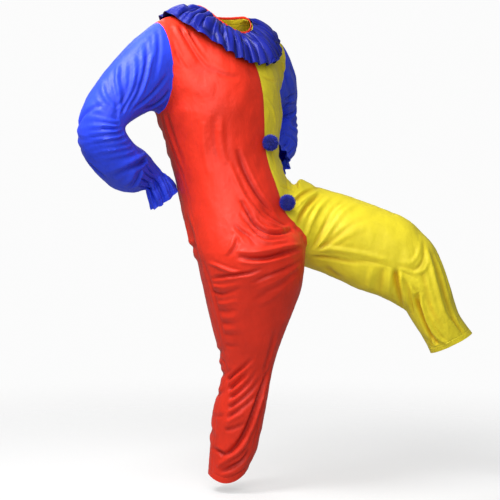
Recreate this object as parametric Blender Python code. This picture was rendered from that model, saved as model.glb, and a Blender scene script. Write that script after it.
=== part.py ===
"""Clown costume: a worn, hollow one-piece jumpsuit in three plain colours.

Metres, +Z up. The origin is the centre of the neck opening. The wearer faces -Y, with the
wearer's right side at -X. Both hands rest on the hips, the right leg stands, and the left
knee is raised to the front and side.
"""

import math
from collections import namedtuple

import bmesh
import bpy
import numpy as np
from mathutils import Matrix, Vector
from mathutils.bvhtree import BVHTree

# Cloth and seams
WALL = 0.0018              # thickness of the cloth wall
SEAM_GAP = 0.0003          # clearance between two pieces that are sewn together

# Mesh density: columns across one front or back panel, rows from one section to the next
PANEL_COLUMNS = 9
ROWS_PER_SECTION = 2
ARMHOLE_ROWS = 11          # rows from the underarm up to the shoulder
NECK_COLUMNS = 5           # columns of a panel's top edge that lie on the neckline

# Neckline
NECK_HALF_WIDTH = 0.096
NECK_FRONT = 0.090         # from the origin to the front of the neckline
NECK_BACK = 0.074
NECK_RISE = 0.010          # how far the sides of the neckline lie above the origin
NECK_FRONT_DROP = 0.070    # from the sides of the neckline down to its front
NECK_BACK_DROP = 0.010
NECK_ROLL = 0.12           # rise towards the right shoulder, per metre across
NECK_TURN = math.radians(-6)
NECK_SHOULDER = math.radians(92)   # turn from the front where a shoulder seam begins
SHOULDER_ARCH = 0.006       # how far a shoulder seam bows up between the neck and the armhole

# Neck binding
BINDING_HEIGHT = 0.0095
BINDING_WALL = 0.0024
BINDING_SEAT = 0.0009      # from the neckline up to the band's lower edge
BINDING_LEAN = 0.45        # inwards for each metre up
BINDING_COLUMNS = 40
BACK_SLIT = 0.0012         # gap at the centre back, where binding and collar open

# Gathered collar
COLLAR_WAVES = 27
COLLAR_ROWS = 4
COLLAR_DEPTH = 0.118       # from the neck seam to the hem
COLLAR_FRONT_DROP = 0.104  # how far the hem lies below the neck seam
COLLAR_SIDE_DROP = 0.040
COLLAR_BACK_DROP = 0.092
COLLAR_WAVE = 0.0085       # height of the hem's waves
COLLAR_CLEARANCE = 0.0023  # from the body up to the bottom of the waves
COLLAR_ARCH = 0.010        # how far the collar bows up between the neck seam and the hem
COLLAR_WALL = 0.0014
COLLAR_UNEVEN = 0.35       # share by which the waves grow and shrink round the neck
COLLAR_RAGGED = 0.20       # the same, for a quicker change from wave to wave

# Pompoms
POMPOM_CORE = 0.0185       # radius of the dense core
POMPOM_REACH = 0.0245      # radius at the tips of the yarn locks
POMPOM_BALD = 0.25         # share of the ball's back, towards the cloth, that stays bald
POMPOM_PARTING = 0.0006    # half the gap between the roots of two locks
POMPOM_RAGGED = 0.0024     # how far the shortest lock stays behind the longest
POMPOM_SETTLES = 4         # how often a ball is set back to touch the nearest cloth
POMPOMS = {"pompom_upper": 1.45, "pompom_lower": 4.45}   # places down the centre front

# Wrist gathers and frill
SLEEVE_GATHERS = 11
GATHERS_FROM = 8           # place of the wrist in the table of rings, where the gathers begin
GATHER_UNEVEN = 0.35       # share by which the gathers grow and shrink round the wrist
SLEEVE_LOOK = 0.35         # how far along the table a sleeve's direction is read
ARMHOLE_UP, ARMHOLE_ACROSS = 0.14, 0.09    # half-height and half-width of an armhole
SLEEVE_PLAIN_RINGS = 11    # rings of plain sleeve between the armhole and the gathers
SLEEVE_GATHER_RINGS = 8
SLEEVE_EASE = 3            # how often the rings are evened out along the sleeve
CUFF_CLEARANCE = 0.005     # from the frill to the hip

# Body and leg sections. x, y, z: centre. half_width: centre to side. front, back: centre to
# front and back. heading: turn about Z. pitch: tilt of the section as a leg is raised.
# start, side, stop: where the centre front or inseam, the side seam, and the centre back or
# inseam lie on the ring, in degrees from the middle of the outer side towards the back.
Section = namedtuple("Section", "x y z half_width front back heading pitch start side stop")

TORSO = [
    Section(0.000, 0.012, -0.300, 0.216, 0.182, 0.172, 3, 0, -90, 26, 90),
    Section(0.000, 0.004, -0.362, 0.200, 0.172, 0.162, 4, 0, -90, 23, 90),
    Section(0.001, -0.009, -0.425, 0.186, 0.162, 0.158, 5, 0, -90, 20, 90),
    Section(0.009, -0.032, -0.490, 0.184, 0.156, 0.168, 6, 0, -90, 20, 90),
]
LEFT_SIDE_SEAM = 8         # degrees behind the middle of the left side

RIGHT_LEG = [
    Section(0.012, -0.058, -0.553, 0.184, 0.152, 0.178, 7, 0, -90, 22, 90),
    Section(0.003, -0.084, -0.612, 0.178, 0.156, 0.186, 8, 0, -101, 24, 98),
    Section(-0.010, -0.116, -0.664, 0.172, 0.160, 0.186, 8, 0, -120, 25, 111),
    Section(-0.020, -0.132, -0.702, 0.168, 0.164, 0.182, 8, 0, -133, 25, 172),
    Section(-0.018, -0.141, -0.752, 0.164, 0.168, 0.168, 8, 0, -135, 25, 225),
    Section(-0.017, -0.138, -0.800, 0.156, 0.166, 0.156, 8, 0, -138, 25, 222),
    Section(-0.015, -0.133, -0.865, 0.140, 0.146, 0.138, 8, 0, -144, 25, 216),
    Section(-0.017, -0.128, -0.945, 0.114, 0.118, 0.114, 8, 0, -150, 25, 210),
    Section(-0.018, -0.124, -1.030, 0.088, 0.091, 0.088, 8, 0, -156, 25, 204),
    Section(-0.019, -0.118, -1.110, 0.075, 0.076, 0.074, 8, 0, -162, 25, 198),
    Section(-0.034, -0.105, -1.190, 0.083, 0.083, 0.082, 8, 0, -168, 25, 192),
    Section(-0.041, -0.096, -1.275, 0.076, 0.077, 0.076, 8, 0, -172, 25, 188),
    Section(-0.051, -0.089, -1.355, 0.070, 0.070, 0.069, 8, 0, -176, 25, 184),
    Section(-0.060, -0.081, -1.418, 0.061, 0.062, 0.060, 8, 0, -180, 25, 180),
]

LEFT_LEG = [
    Section(0.032, -0.060, -0.548, 0.174, 0.160, 0.176, 10, 14, -90, 10, 90),
    Section(0.070, -0.080, -0.578, 0.150, 0.152, 0.174, 18, 34, -127, 10, 96),
    Section(0.114, -0.110, -0.605, 0.128, 0.140, 0.160, 27, 50, -165, 8, 99),
    Section(0.164, -0.148, -0.632, 0.112, 0.134, 0.142, 36, 64, -196, 4, 112),
    Section(0.221, -0.201, -0.658, 0.102, 0.131, 0.126, 42, 72, -216, 0, 144),
    Section(0.272, -0.257, -0.680, 0.098, 0.131, 0.126, 42, 72, -209, 0, 151),
    Section(0.334, -0.326, -0.721, 0.095, 0.134, 0.133, 42, 72, -195, 0, 165),
    Section(0.391, -0.390, -0.757, 0.090, 0.137, 0.135, 42, 74, -190, 0, 170),
    Section(0.427, -0.429, -0.799, 0.087, 0.119, 0.118, 42, 68, -186, 0, 174),
    Section(0.444, -0.448, -0.836, 0.084, 0.097, 0.097, 42, 56, -183, 0, 177),
    Section(0.459, -0.465, -0.886, 0.081, 0.083, 0.083, 42, 47, -180, 0, 180),
    Section(0.474, -0.481, -0.940, 0.077, 0.070, 0.069, 42, 39, -180, 0, 180),
    Section(0.490, -0.494, -0.976, 0.074, 0.067, 0.068, 42, 33, -180, 0, 180),
    Section(0.509, -0.506, -1.012, 0.072, 0.073, 0.073, 42, 26, -180, 0, 180),
]

# The centre-front and centre-back seams below the waist, one row for each crotch section.
Middle = namedtuple("Middle", "front_x front_y front_z back_x back_y back_z")
CROTCH = [
    Middle(0.0374, -0.2100, -0.553, -0.004, 0.116, -0.553),
    Middle(0.0480, -0.2120, -0.608, -0.002, 0.088, -0.628),
    Middle(0.0760, -0.2264, -0.654, 0.020, 0.014, -0.696),
    Middle(0.1114, -0.2403, -0.688, 0.078, -0.112, -0.717),
    Middle(0.1398, -0.2449, -0.726, 0.1398, -0.2449, -0.726),
]

# The centre-front and centre-back seams from the underarm level up to the neckline
Point = namedtuple("Point", "x y z")
CHEST_MIDDLE = [Point(0.008, -0.158, -0.215), Point(0.003, -0.124, -0.130)]
UPPER_BACK_MIDDLE = [Point(-0.006, 0.178, -0.215), Point(-0.004, 0.160, -0.110)]

# Armholes, from the underarm to the shoulder point, bowed to the front and to the back
Armhole = namedtuple("Armhole", "shoulder front_bow back_bow")
ARMHOLES = {
    "right": Armhole(Point(-0.228, 0.050, -0.026), Point(-0.012, -0.076, -0.006),
                     Point(0.006, 0.070, -0.004)),
    "left": Armhole(Point(0.234, -0.016, -0.062), Point(0.004, -0.066, 0.000),
                    Point(0.000, 0.078, 0.000)),
}

# Sleeve sections after the armhole. across, up: radii of the ring. gather: depth of the
# waves. blend: 0 keeps the armhole's shape, 1 is the section's own ring.
Ring = namedtuple("Ring", "x y z across up gather blend")
SLEEVE_SECTIONS = {
    "right": [
        Ring(-0.2540, 0.0690, -0.1760, 0.092, 0.110, 0.000, 0.60),
        Ring(-0.3010, 0.0790, -0.2124, 0.084, 0.091, 0.000, 0.90),
        Ring(-0.3530, 0.0905, -0.2580, 0.077, 0.079, 0.000, 1.00),
        Ring(-0.4040, 0.1020, -0.3050, 0.074, 0.073, 0.000, 1.00),
        Ring(-0.4273, 0.1040, -0.3419, 0.077, 0.077, 0.000, 1.00),
        Ring(-0.4128, 0.1027, -0.3820, 0.079, 0.079, 0.000, 1.00),
        Ring(-0.3726, 0.1050, -0.4236, 0.078, 0.079, 0.000, 1.00),
        Ring(-0.3213, 0.1100, -0.4561, 0.073, 0.073, 0.000, 1.00),
        Ring(-0.2611, 0.1120, -0.4762, 0.065, 0.069, 0.002, 1.00),
        Ring(-0.2040, 0.1000, -0.4985, 0.031, 0.037, 0.003, 1.00),
        Ring(-0.1820, 0.0960, -0.5220, 0.035, 0.046, 0.005, 1.00),
        Ring(-0.1570, 0.0890, -0.5560, 0.036, 0.060, 0.007, 1.00),
    ],
    "left": [
        Ring(0.2640, 0.0220, -0.1620, 0.090, 0.104, 0.000, 0.60),
        Ring(0.3024, 0.0527, -0.1938, 0.082, 0.086, 0.000, 0.90),
        Ring(0.3487, 0.0910, -0.2267, 0.075, 0.075, 0.000, 1.00),
        Ring(0.3863, 0.1239, -0.2575, 0.073, 0.071, 0.000, 1.00),
        Ring(0.4014, 0.1370, -0.2932, 0.076, 0.075, 0.000, 1.00),
        Ring(0.3950, 0.1292, -0.3300, 0.077, 0.077, 0.000, 1.00),
        Ring(0.3690, 0.1046, -0.3640, 0.075, 0.075, 0.000, 1.00),
        Ring(0.3360, 0.0723, -0.3860, 0.071, 0.070, 0.000, 1.00),
        Ring(0.3080, 0.0436, -0.4020, 0.060, 0.063, 0.001, 1.00),
        Ring(0.2780, 0.0170, -0.4160, 0.034, 0.036, 0.003, 1.00),
        Ring(0.2650, 0.0070, -0.4240, 0.038, 0.045, 0.006, 1.00),
        Ring(0.2460, -0.0090, -0.4420, 0.040, 0.058, 0.009, 1.00),
    ],
}

# Largest folds of the body and legs. Each runs on one half from one section and turn to
# another (turn: 0 at the centre front or inseam, 0.5 at the side seam, 1 at the centre back).
# width is half its width, height is outwards, and a minus is a trough.
Fold = namedtuple("Fold", "side from_section from_turn to_section to_turn width height")
FOLDS = [
    Fold("right", 4.6, 0.06, 6.6, 0.40, 0.022, -0.009),
    Fold("right", 6.2, 0.02, 7.6, 0.36, 0.022, 0.009),
    Fold("right", 7.8, 0.05, 9.8, 0.40, 0.024, -0.008),
    Fold("right", 11.0, 0.22, 14.5, 0.12, 0.014, -0.006),
    Fold("right", 13.0, 0.55, 14.2, 0.25, 0.014, 0.006),
    Fold("left", 8.4, 0.06, 10.4, 0.20, 0.022, 0.008),
    Fold("left", 8.4, 0.14, 9.8, 0.28, 0.018, -0.006),
    Fold("left", 11.0, 0.02, 12.6, 0.90, 0.020, -0.012),
    Fold("left", 12.2, 0.96, 15.5, 0.86, 0.018, -0.010),
    Fold("left", 9.0, 0.95, 11.4, 0.86, 0.024, 0.008),
]

# Places where the cloth is evened out: over the fork, in the bends of the joints
Ease = namedtuple("Ease", "x y z reach")
EASES = [
    Ease(0.110, -0.190, -0.720, 0.090),
    Ease(0.040, -0.050, -0.705, 0.080),
    Ease(-0.040, 0.040, -0.685, 0.060),
    Ease(0.140, -0.240, -0.600, 0.080),
    Ease(0.385, -0.330, -0.870, 0.060),
    Ease(0.300, 0.070, -0.330, 0.070),
    Ease(-0.340, 0.090, -0.380, 0.050),
]
EASE_PASSES = 12
EVEN_PASSES = 5            # light evening-out of the whole surface, which keeps its size
EVEN_STEPS = (0.50, -0.53)

COLOURS = {
    "red": (0.83, 0.045, 0.022, 1.0),
    "yellow": (0.80, 0.66, 0.020, 1.0),
    "blue": (0.028, 0.050, 0.66, 1.0),
}
CLOTH_ROUGHNESS = 0.45
YARN_ROUGHNESS = 0.90

RIGHT, LEFT = "right", "left"
PULL_REACH = 0.22          # share of a section that is drawn to the middle seam
HOLLOW_FROM = 97           # degrees round the ring where the flattened stretch begins
SEAT_HOLLOW = 0.92         # how flat the standing leg's inner back is at the fork
SEAT_HOLLOW_ABOVE = 2.0    # sections over which that fades, above and below the fork
SEAT_HOLLOW_BELOW = 2.6
FORK = len(TORSO) + len(CROTCH) - 1     # index of the section where the inseam begins


def curve_through(rows, place):
    """Point at a place (0 to len - 1) on a smooth curve through the rows of a table."""
    rows = np.asarray(rows, dtype=float)
    place = min(max(place, 0.0), len(rows) - 1.0)
    start = min(int(place), len(rows) - 2)
    part = place - start
    before = rows[start - 1] if start > 0 else 2 * rows[0] - rows[1]
    after = rows[start + 2] if start + 2 < len(rows) else 2 * rows[-1] - rows[-2]
    first, last = rows[start], rows[start + 1]
    return 0.5 * (2 * first + (last - before) * part
                  + (2 * before - 5 * first + 4 * last - after) * part ** 2
                  + (3 * (first - last) + after - before) * part ** 3)


def unit(vector):
    """A vector, or an array of vectors, at length 1."""
    vector = np.asarray(vector, dtype=float)
    return vector / np.maximum(np.linalg.norm(vector, axis=-1, keepdims=True), 1e-12)


def sections_of(side):
    """All sections of one half, from the underarm to the hem."""
    torso = TORSO
    if side == LEFT:
        torso = [row._replace(side=LEFT_SIDE_SEAM) for row in TORSO]
    return torso + (RIGHT_LEG if side == RIGHT else LEFT_LEG)


def section_point(section, side, turn, hollow=0.0):
    """Point of a section's ring, before its ends are drawn to the middle seam.

    hollow flattens the ring's inner back, where the standing leg passes the raised one.
    """
    if turn < 0.5:
        angle = section.start + (section.side - section.start) * turn * 2
    else:
        angle = section.side + (section.stop - section.side) * (turn * 2 - 1)
    point = ring_point(section, side, angle)
    if hollow > 0 and angle > HOLLOW_FROM:
        first = ring_point(section, side, HOLLOW_FROM)
        last = ring_point(section, side, section.stop)
        chord = first + (last - first) * (angle - HOLLOW_FROM) / (section.stop - HOLLOW_FROM)
        point = point * (1 - hollow) + chord * hollow
    return point


def ring_point(section, side, angle):
    """Point of a section's full ellipse, at degrees from its outer side towards its back."""
    heading, pitch = math.radians(section.heading), math.radians(section.pitch)
    forward = np.array([math.sin(heading), -math.cos(heading), 0.0])
    outward = np.array([math.cos(heading), math.sin(heading), 0.0])
    if side == RIGHT:
        outward = -outward
    backward = -forward * math.cos(pitch) - np.array([0.0, 0.0, math.sin(pitch)])
    angle = math.radians(angle)
    depth = section.back if math.sin(angle) > 0 else section.front
    centre = np.array([section.x, section.y, section.z])
    return (centre + outward * section.half_width * math.cos(angle)
            + backward * depth * math.sin(angle))


def middle_points(place):
    """Centre-front and centre-back points at a section place above the fork."""
    rows = []
    for section in TORSO:
        rows.append(np.concatenate([section_point(section, RIGHT, 0.0),
                                    section_point(section, RIGHT, 1.0)]))
    rows += [np.array(row) for row in CROTCH]
    both = curve_through(rows, place)
    return both[:3], both[3:]


def body_point(side, place, turn):
    """Point on one half of the body and its leg, below the underarm."""
    section = Section(*curve_through(sections_of(side), place))
    if place >= FORK:
        section = section._replace(stop=section.start + 360)
    reach = SEAT_HOLLOW_ABOVE if place < FORK else SEAT_HOLLOW_BELOW
    hollow = SEAT_HOLLOW * math.exp(-((place - FORK) / reach) ** 2)
    if side == LEFT:
        hollow = 0.0
    point = section_point(section, side, turn, hollow)
    near_middle = max(0.0, 1 - min(turn, 1 - turn) / PULL_REACH)
    pull = near_middle ** 2 * (3 - 2 * near_middle)
    if place < FORK:
        front, back = middle_points(place)
        end, seam = (0.0, front) if turn <= 0.5 else (1.0, back)
        return point + (seam - section_point(section, side, end, hollow)) * pull
    fork = np.array(CROTCH[-1][:3])
    own_fork = section_point(sections_of(side)[FORK], side, 0.0)
    fade = max(0.0, 1.0 - (place - FORK) / 1.5) ** 2
    return point + (fork - own_fork) * fade * pull


def neck_point(turn):
    """Point on the neckline; turn is in radians from the front, positive to the left."""
    ahead = math.cos(turn)
    x = NECK_HALF_WIDTH * math.sin(turn)
    y = -(NECK_FRONT if ahead > 0 else NECK_BACK) * ahead
    drop = (NECK_FRONT_DROP if ahead > 0 else NECK_BACK_DROP) * abs(ahead) ** 1.6
    z = NECK_RISE - drop - NECK_ROLL * x
    cos_turn, sin_turn = math.cos(NECK_TURN), math.sin(NECK_TURN)
    return np.array([x * cos_turn - y * sin_turn, x * sin_turn + y * cos_turn, z])


def neck_edge(turn):
    """Point on the panels' neck edge, which runs straight from column to column."""
    sign, turn = (-1 if turn < 0 else 1), abs(turn)
    if turn < NECK_SHOULDER:
        start, stop = 0.0, NECK_SHOULDER
    else:
        start, stop = NECK_SHOULDER, math.pi
    place = (turn - start) / (stop - start) * NECK_COLUMNS
    column = min(int(place), NECK_COLUMNS - 1)
    step = (stop - start) / NECK_COLUMNS
    first = neck_point(sign * (start + column * step))
    last = neck_point(sign * (start + (column + 1) * step))
    return first + (last - first) * (place - column)


def armhole_point(side, face, rise):
    """Point on an armhole's front or back edge, from the underarm (0) to the shoulder (1)."""
    underarm = body_point(side, 0.0, 0.5)
    armhole = ARMHOLES[side]
    shoulder = np.array(armhole.shoulder)
    bow = np.array(armhole.front_bow if face == "front" else armhole.back_bow)
    middle, half = (underarm + shoulder) / 2, (shoulder - underarm) / 2
    return middle - half * math.cos(math.pi * rise) + bow * math.sin(math.pi * rise)


def top_edge(side, face):
    """Neckline and shoulder seam of one panel, from the middle seam to the armhole."""
    sign = -1 if side == RIGHT else 1
    start = 0.0 if face == "front" else math.pi
    points = []
    for column in range(NECK_COLUMNS + 1):
        turn = start + (NECK_SHOULDER - start) * column / NECK_COLUMNS
        points.append(neck_point(sign * turn))
    neck, shoulder = points[-1], np.array(ARMHOLES[side].shoulder)
    count = PANEL_COLUMNS - NECK_COLUMNS
    for column in range(1, count + 1):
        part = column / count
        arch = SHOULDER_ARCH * math.sin(math.pi * part)
        points.append(neck + (shoulder - neck) * part + np.array([0.0, 0.0, arch]))
    return np.array(points)


def yoke_grid(side, face):
    """Rows of a panel from the neckline and shoulder down to the underarm."""
    top = top_edge(side, face)
    turns = [column / PANEL_COLUMNS * 0.5 for column in range(PANEL_COLUMNS + 1)]
    if face == "back":
        turns = [1.0 - turn for turn in turns]
    bottom = np.array([body_point(side, 0.0, turn) for turn in turns])
    middle_rows = CHEST_MIDDLE if face == "front" else UPPER_BACK_MIDDLE
    middle_rows = [bottom[0]] + [np.array(row) for row in middle_rows] + [top[0]]
    rows = []
    for row in range(ARMHOLE_ROWS + 1):
        rise = 1.0 - row / ARMHOLE_ROWS
        inner = curve_through(middle_rows, rise * (len(middle_rows) - 1))
        outer = armhole_point(side, face, rise)
        points = []
        for column in range(PANEL_COLUMNS + 1):
            across = column / PANEL_COLUMNS
            ruled = (1 - rise) * bottom[column] + rise * top[column]
            sides = (1 - across) * inner + across * outer
            corners = ((1 - rise) * ((1 - across) * bottom[0] + across * bottom[-1])
                       + rise * ((1 - across) * top[0] + across * top[-1]))
            points.append(ruled + sides - corners)
        rows.append(points)
    return np.array(rows)


def panel_grid(side, face):
    """All rows of one panel, from its top edge to the hem, from the middle to the side."""
    yoke = yoke_grid(side, face)
    last = len(sections_of(side)) - 1
    rows = []
    for row in range(1, last * ROWS_PER_SECTION + 1):
        place = row / ROWS_PER_SECTION
        points = []
        for column in range(PANEL_COLUMNS + 1):
            turn = column / PANEL_COLUMNS * 0.5
            points.append(body_point(side, place, turn if face == "front" else 1.0 - turn))
        rows.append(points)
    return np.concatenate([yoke, np.array(rows)])


def armhole_loop(side):
    """The sleeve's first ring: up the front edge of the armhole and down its back edge."""
    front = [armhole_point(side, "front", row / ARMHOLE_ROWS) for row in range(ARMHOLE_ROWS + 1)]
    back = [armhole_point(side, "back", 1 - row / ARMHOLE_ROWS)
            for row in range(1, ARMHOLE_ROWS)]
    return np.array(front + back)


def sleeve_rings(side, body):
    """Rings of one sleeve: plain ones with the armhole's columns, then gathered ones."""
    loop = armhole_loop(side)
    count = len(loop)
    sections = SLEEVE_SECTIONS[side]
    start = Ring(*loop.mean(axis=0), ARMHOLE_ACROSS, ARMHOLE_UP, 0.0, 0.0)
    table = [start] + list(sections)
    places = [ring * GATHERS_FROM / SLEEVE_PLAIN_RINGS for ring in range(SLEEVE_PLAIN_RINGS + 1)]
    last = len(table) - 1
    places += [GATHERS_FROM + (last - GATHERS_FROM) * ring / SLEEVE_GATHER_RINGS
               for ring in range(1, SLEEVE_GATHER_RINGS + 1)]
    up = unit(loop[ARMHOLE_ROWS] - loop[0])
    rings = []
    for place in places:
        row = Ring(*curve_through(table, place))
        ahead = curve_through(table, min(place + SLEEVE_LOOK, last))[:3]
        behind = curve_through(table, max(place - SLEEVE_LOOK, 0))[:3]
        along = unit(ahead - behind)
        up = unit(up - along * np.dot(up, along))
        front = unit(np.cross(up, along)) * (-1 if side == LEFT else 1)
        gathered = place > GATHERS_FROM
        columns = count * 2 if gathered else count
        centre = np.array(row[:3])
        points = []
        for column in range(columns):
            angle = 2 * math.pi * column / columns
            wave = row.gather * math.cos(SLEEVE_GATHERS * angle) if gathered else 0.0
            wave *= 1 + GATHER_UNEVEN * math.sin(3 * angle + 0.7)
            point = (centre - up * math.cos(angle) * (row.up + wave)
                     + front * math.sin(angle) * (row.across + wave))
            blend = min(max(row.blend, 0.0), 1.0)
            if blend < 1.0 and not gathered:
                moved = loop[column] + (centre - loop.mean(axis=0))
                point = point * blend + moved * (1 - blend)
            points.append(point)
        rings.append(np.array(points))
    rings[0] = loop
    for _ in range(SLEEVE_EASE):
        eased = [ring.copy() for ring in rings]
        for index in range(1, SLEEVE_PLAIN_RINGS):
            eased[index] = (rings[index - 1] + 2 * rings[index] + rings[index + 1]) / 4
        rings = eased
    for index in range(SLEEVE_PLAIN_RINGS, len(rings)):
        rings[index] = np.array([clear_of(body, point, CUFF_CLEARANCE)
                                 for point in rings[index]])
    return rings


def grid_faces(rows, columns):
    """Quads of an open grid of points, rows by columns."""
    faces = []
    for row in range(rows - 1):
        for column in range(columns - 1):
            first = row * columns + column
            faces.append((first, first + 1, first + columns + 1, first + columns))
    return faces


def ring_faces(rings):
    """Faces between closed rings; a ring may have twice the columns of the one before."""
    faces = []
    start = 0
    for ring, following in zip(rings[:-1], rings[1:]):
        count, after = len(ring), start + len(ring)
        for column in range(count):
            right = (column + 1) % count
            if len(following) == count:
                faces.append((start + column, start + right, after + right, after + column))
            else:
                mid = after + 2 * column + 1
                faces.append((start + column, start + right, mid))
                faces.append((start + column, mid, after + 2 * column))
                faces.append((start + right, after + 2 * right, mid))
        start = after
    return faces


def face_normals(points, faces):
    """Unnormalised normals of faces, weighted by area."""
    normals = []
    for face in faces:
        corners = points[list(face)]
        normal = np.cross(corners[2] - corners[0], corners[-1] - corners[1])
        if len(face) == 3:
            normal = np.cross(corners[1] - corners[0], corners[2] - corners[0])
        normals.append(normal)
    return np.array(normals)


def shared_normals(pieces):
    """Outward normals at each point, averaged where pieces meet at a seam."""
    totals = {}
    for points, faces in pieces.values():
        own = np.zeros_like(points)
        for face, normal in zip(faces, face_normals(points, faces)):
            own[list(face)] += normal
        keys = {}
        for point, normal in zip(points, own):
            key = tuple(np.round(point, 6))
            keys[key] = keys.get(key, 0) + normal
        for key, normal in keys.items():
            totals[key] = totals.get(key, 0) + unit(normal)
    return {name: unit([totals[tuple(np.round(point, 6))] for point in points])
            for name, (points, faces) in pieces.items()}


def fold_line(fold):
    """Points along a fold, on the body."""
    steps = np.linspace(0, 1, 9)
    return np.array([body_point(fold.side,
                                fold.from_section + (fold.to_section - fold.from_section) * step,
                                fold.from_turn + (fold.to_turn - fold.from_turn) * step)
                     for step in steps])


def fold_offsets(points, side):
    """How far each point moves outwards, for the folds of one half."""
    offsets = np.zeros(len(points))
    for fold in FOLDS:
        if fold.side != side:
            continue
        line = fold_line(fold)
        best = np.full(len(points), 1e9)
        along = np.zeros(len(points))
        for index in range(len(line) - 1):
            first, step = line[index], line[index + 1] - line[index]
            part = np.clip((points - first) @ step / (step @ step), 0, 1)
            distance = np.linalg.norm(points - (first + part[:, None] * step), axis=1)
            closer = distance < best
            best = np.where(closer, distance, best)
            along = np.where(closer, (index + part) / (len(line) - 1), along)
        taper = np.clip(along / 0.2, 0, 1) * (1 - along ** 2)
        offsets += fold.height * np.exp(-(best / fold.width) ** 2) * taper
    return offsets


def seam_insets(points, faces, normals):
    """Small moves of a piece's edge points into the piece, for the gap at each seam."""
    edges = {}
    for index, face in enumerate(faces):
        for first, last in zip(face, face[1:] + face[:1]):
            edges.setdefault(frozenset((first, last)), []).append((first, last, index))
    inward = {}
    for uses in edges.values():
        if len(uses) != 1:
            continue
        first, last, index = uses[0]
        middle = points[list(faces[index])].mean(axis=0)
        along = unit(points[last] - points[first])
        side = np.cross(normals[first] + normals[last], along)
        side = unit(side - along * np.dot(side, along))
        if np.dot(side, middle - points[first]) < 0:
            side = -side
        inward.setdefault(first, []).append(side)
        inward.setdefault(last, []).append(side)
    moves = np.zeros_like(points)
    for index, sides in inward.items():
        total = np.sum(sides, axis=0)
        length = max(float(np.dot(total, sides[0])), 0.5)
        moves[index] = total / length * SEAM_GAP / 2
    return moves


def triangles_of(points, faces):
    """Faces cut into triangles along the shorter diagonal, so both sides of a wall match."""
    triangles = []
    for face in faces:
        if len(face) == 3:
            triangles.append(face)
            continue
        first, second, third, fourth = face
        across = np.linalg.norm(points[first] - points[third])
        if across <= np.linalg.norm(points[second] - points[fourth]):
            triangles += [(first, second, third), (first, third, fourth)]
        else:
            triangles += [(first, second, fourth), (second, third, fourth)]
    return triangles


def cloth_object(name, points, faces, normals, colour, wall=WALL):
    """A closed cloth wall round a surface given by its middle points."""
    count = len(points)
    faces = triangles_of(points, faces)
    outer = points + normals * wall / 2
    inner = points - normals * wall / 2
    solid = [tuple(face) for face in faces]
    solid += [tuple(count + corner for corner in reversed(face)) for face in faces]
    edges = {}
    for face in faces:
        for first, last in zip(face, face[1:] + face[:1]):
            edges.setdefault(frozenset((first, last)), []).append((first, last))
    for uses in edges.values():
        if len(uses) == 1:
            first, last = uses[0]
            solid.append((last, first, count + first, count + last))
    mesh = bpy.data.meshes.new(name)
    mesh.from_pydata([tuple(point) for point in np.concatenate([outer, inner])], [], solid)
    mesh.validate()
    return add_object(name, mesh, colour, CLOTH_ROUGHNESS)


def add_object(name, mesh, colour, roughness):
    """An object with its own material, shaded smooth."""
    work = bmesh.new()
    work.from_mesh(mesh)
    bmesh.ops.recalc_face_normals(work, faces=work.faces)
    work.to_mesh(mesh)
    work.free()
    mesh.shade_smooth()
    mesh.set_sharp_from_angle(angle=math.radians(60))
    material = bpy.data.materials.new(name)
    material.use_nodes = True
    shader = material.node_tree.nodes["Principled BSDF"]
    shader.inputs["Base Color"].default_value = COLOURS[colour]
    shader.inputs["Roughness"].default_value = roughness
    shader.inputs["Metallic"].default_value = 0.0
    mesh.materials.append(material)
    item = bpy.data.objects.new(name, mesh)
    bpy.context.scene.collection.objects.link(item)
    return item


def orient(points, faces, centre_of):
    """Faces turned so that they look away from the hollow they wrap."""
    normals = face_normals(points, faces)
    middles = np.array([points[list(face)].mean(axis=0) for face in faces])
    outward = np.sum(normals * (middles - centre_of(middles)), axis=1)
    if outward.sum() < 0:
        return [tuple(reversed(face)) for face in faces]
    return faces


def eased(pieces):
    """Pieces evened out near the places in EASES; seams stay joined."""
    index_of, points = {}, []
    for corners, _ in pieces.values():
        for corner in corners:
            key = tuple(np.round(corner, 6))
            if key not in index_of:
                index_of[key] = len(points)
                points.append(corner)
    points = np.array(points)
    links, counts = set(), {}
    where = {name: [index_of[tuple(np.round(corner, 6))] for corner in corners]
             for name, (corners, _) in pieces.items()}
    for name, (_, faces) in pieces.items():
        for face in faces:
            for first, last in zip(face, face[1:] + face[:1]):
                link = tuple(sorted((where[name][first], where[name][last])))
                links.add(link)
                counts[link] = counts.get(link, 0) + 1
    links = np.array(sorted(links))
    edge = {corner for link, count in counts.items() if count == 1 for corner in link}
    weights = np.zeros(len(points))
    for ease in EASES:
        away = np.linalg.norm(points - np.array(ease[:3]), axis=1)
        weights = np.maximum(weights, np.clip(1.5 - away / ease.reach, 0, 1))
    weights[sorted(edge)] = 0.0
    free = np.ones(len(points))
    free[sorted(edge)] = 0.0
    steps = [step * free for step in EVEN_STEPS * EVEN_PASSES] + [0.5 * weights] * EASE_PASSES
    for step in steps:
        totals, degree = np.zeros_like(points), np.zeros(len(points))
        for first, last in ((0, 1), (1, 0)):
            np.add.at(totals, links[:, first], points[links[:, last]])
            np.add.at(degree, links[:, first], 1)
        points = points + (totals / degree[:, None] - points) * step[:, None]
    return {name: (points[where[name]], faces) for name, (_, faces) in pieces.items()}


def surface_tree(pieces):
    """Search tree over the middle surfaces of pieces."""
    corners, polygons = [], []
    for points, faces in pieces.values():
        polygons += [tuple(corner + len(corners) for corner in face) for face in faces]
        corners += [tuple(point) for point in points]
    return BVHTree.FromPolygons(corners, polygons)


def clear_of(tree, point, clearance):
    """A point moved out until it lies at least the clearance outside a surface."""
    nearest, normal, _, _ = tree.find_nearest(Vector(point))
    nearest, normal = np.array(nearest), np.array(normal)
    if np.dot(point - nearest, normal) < clearance:
        return nearest + normal * clearance
    return point


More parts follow.
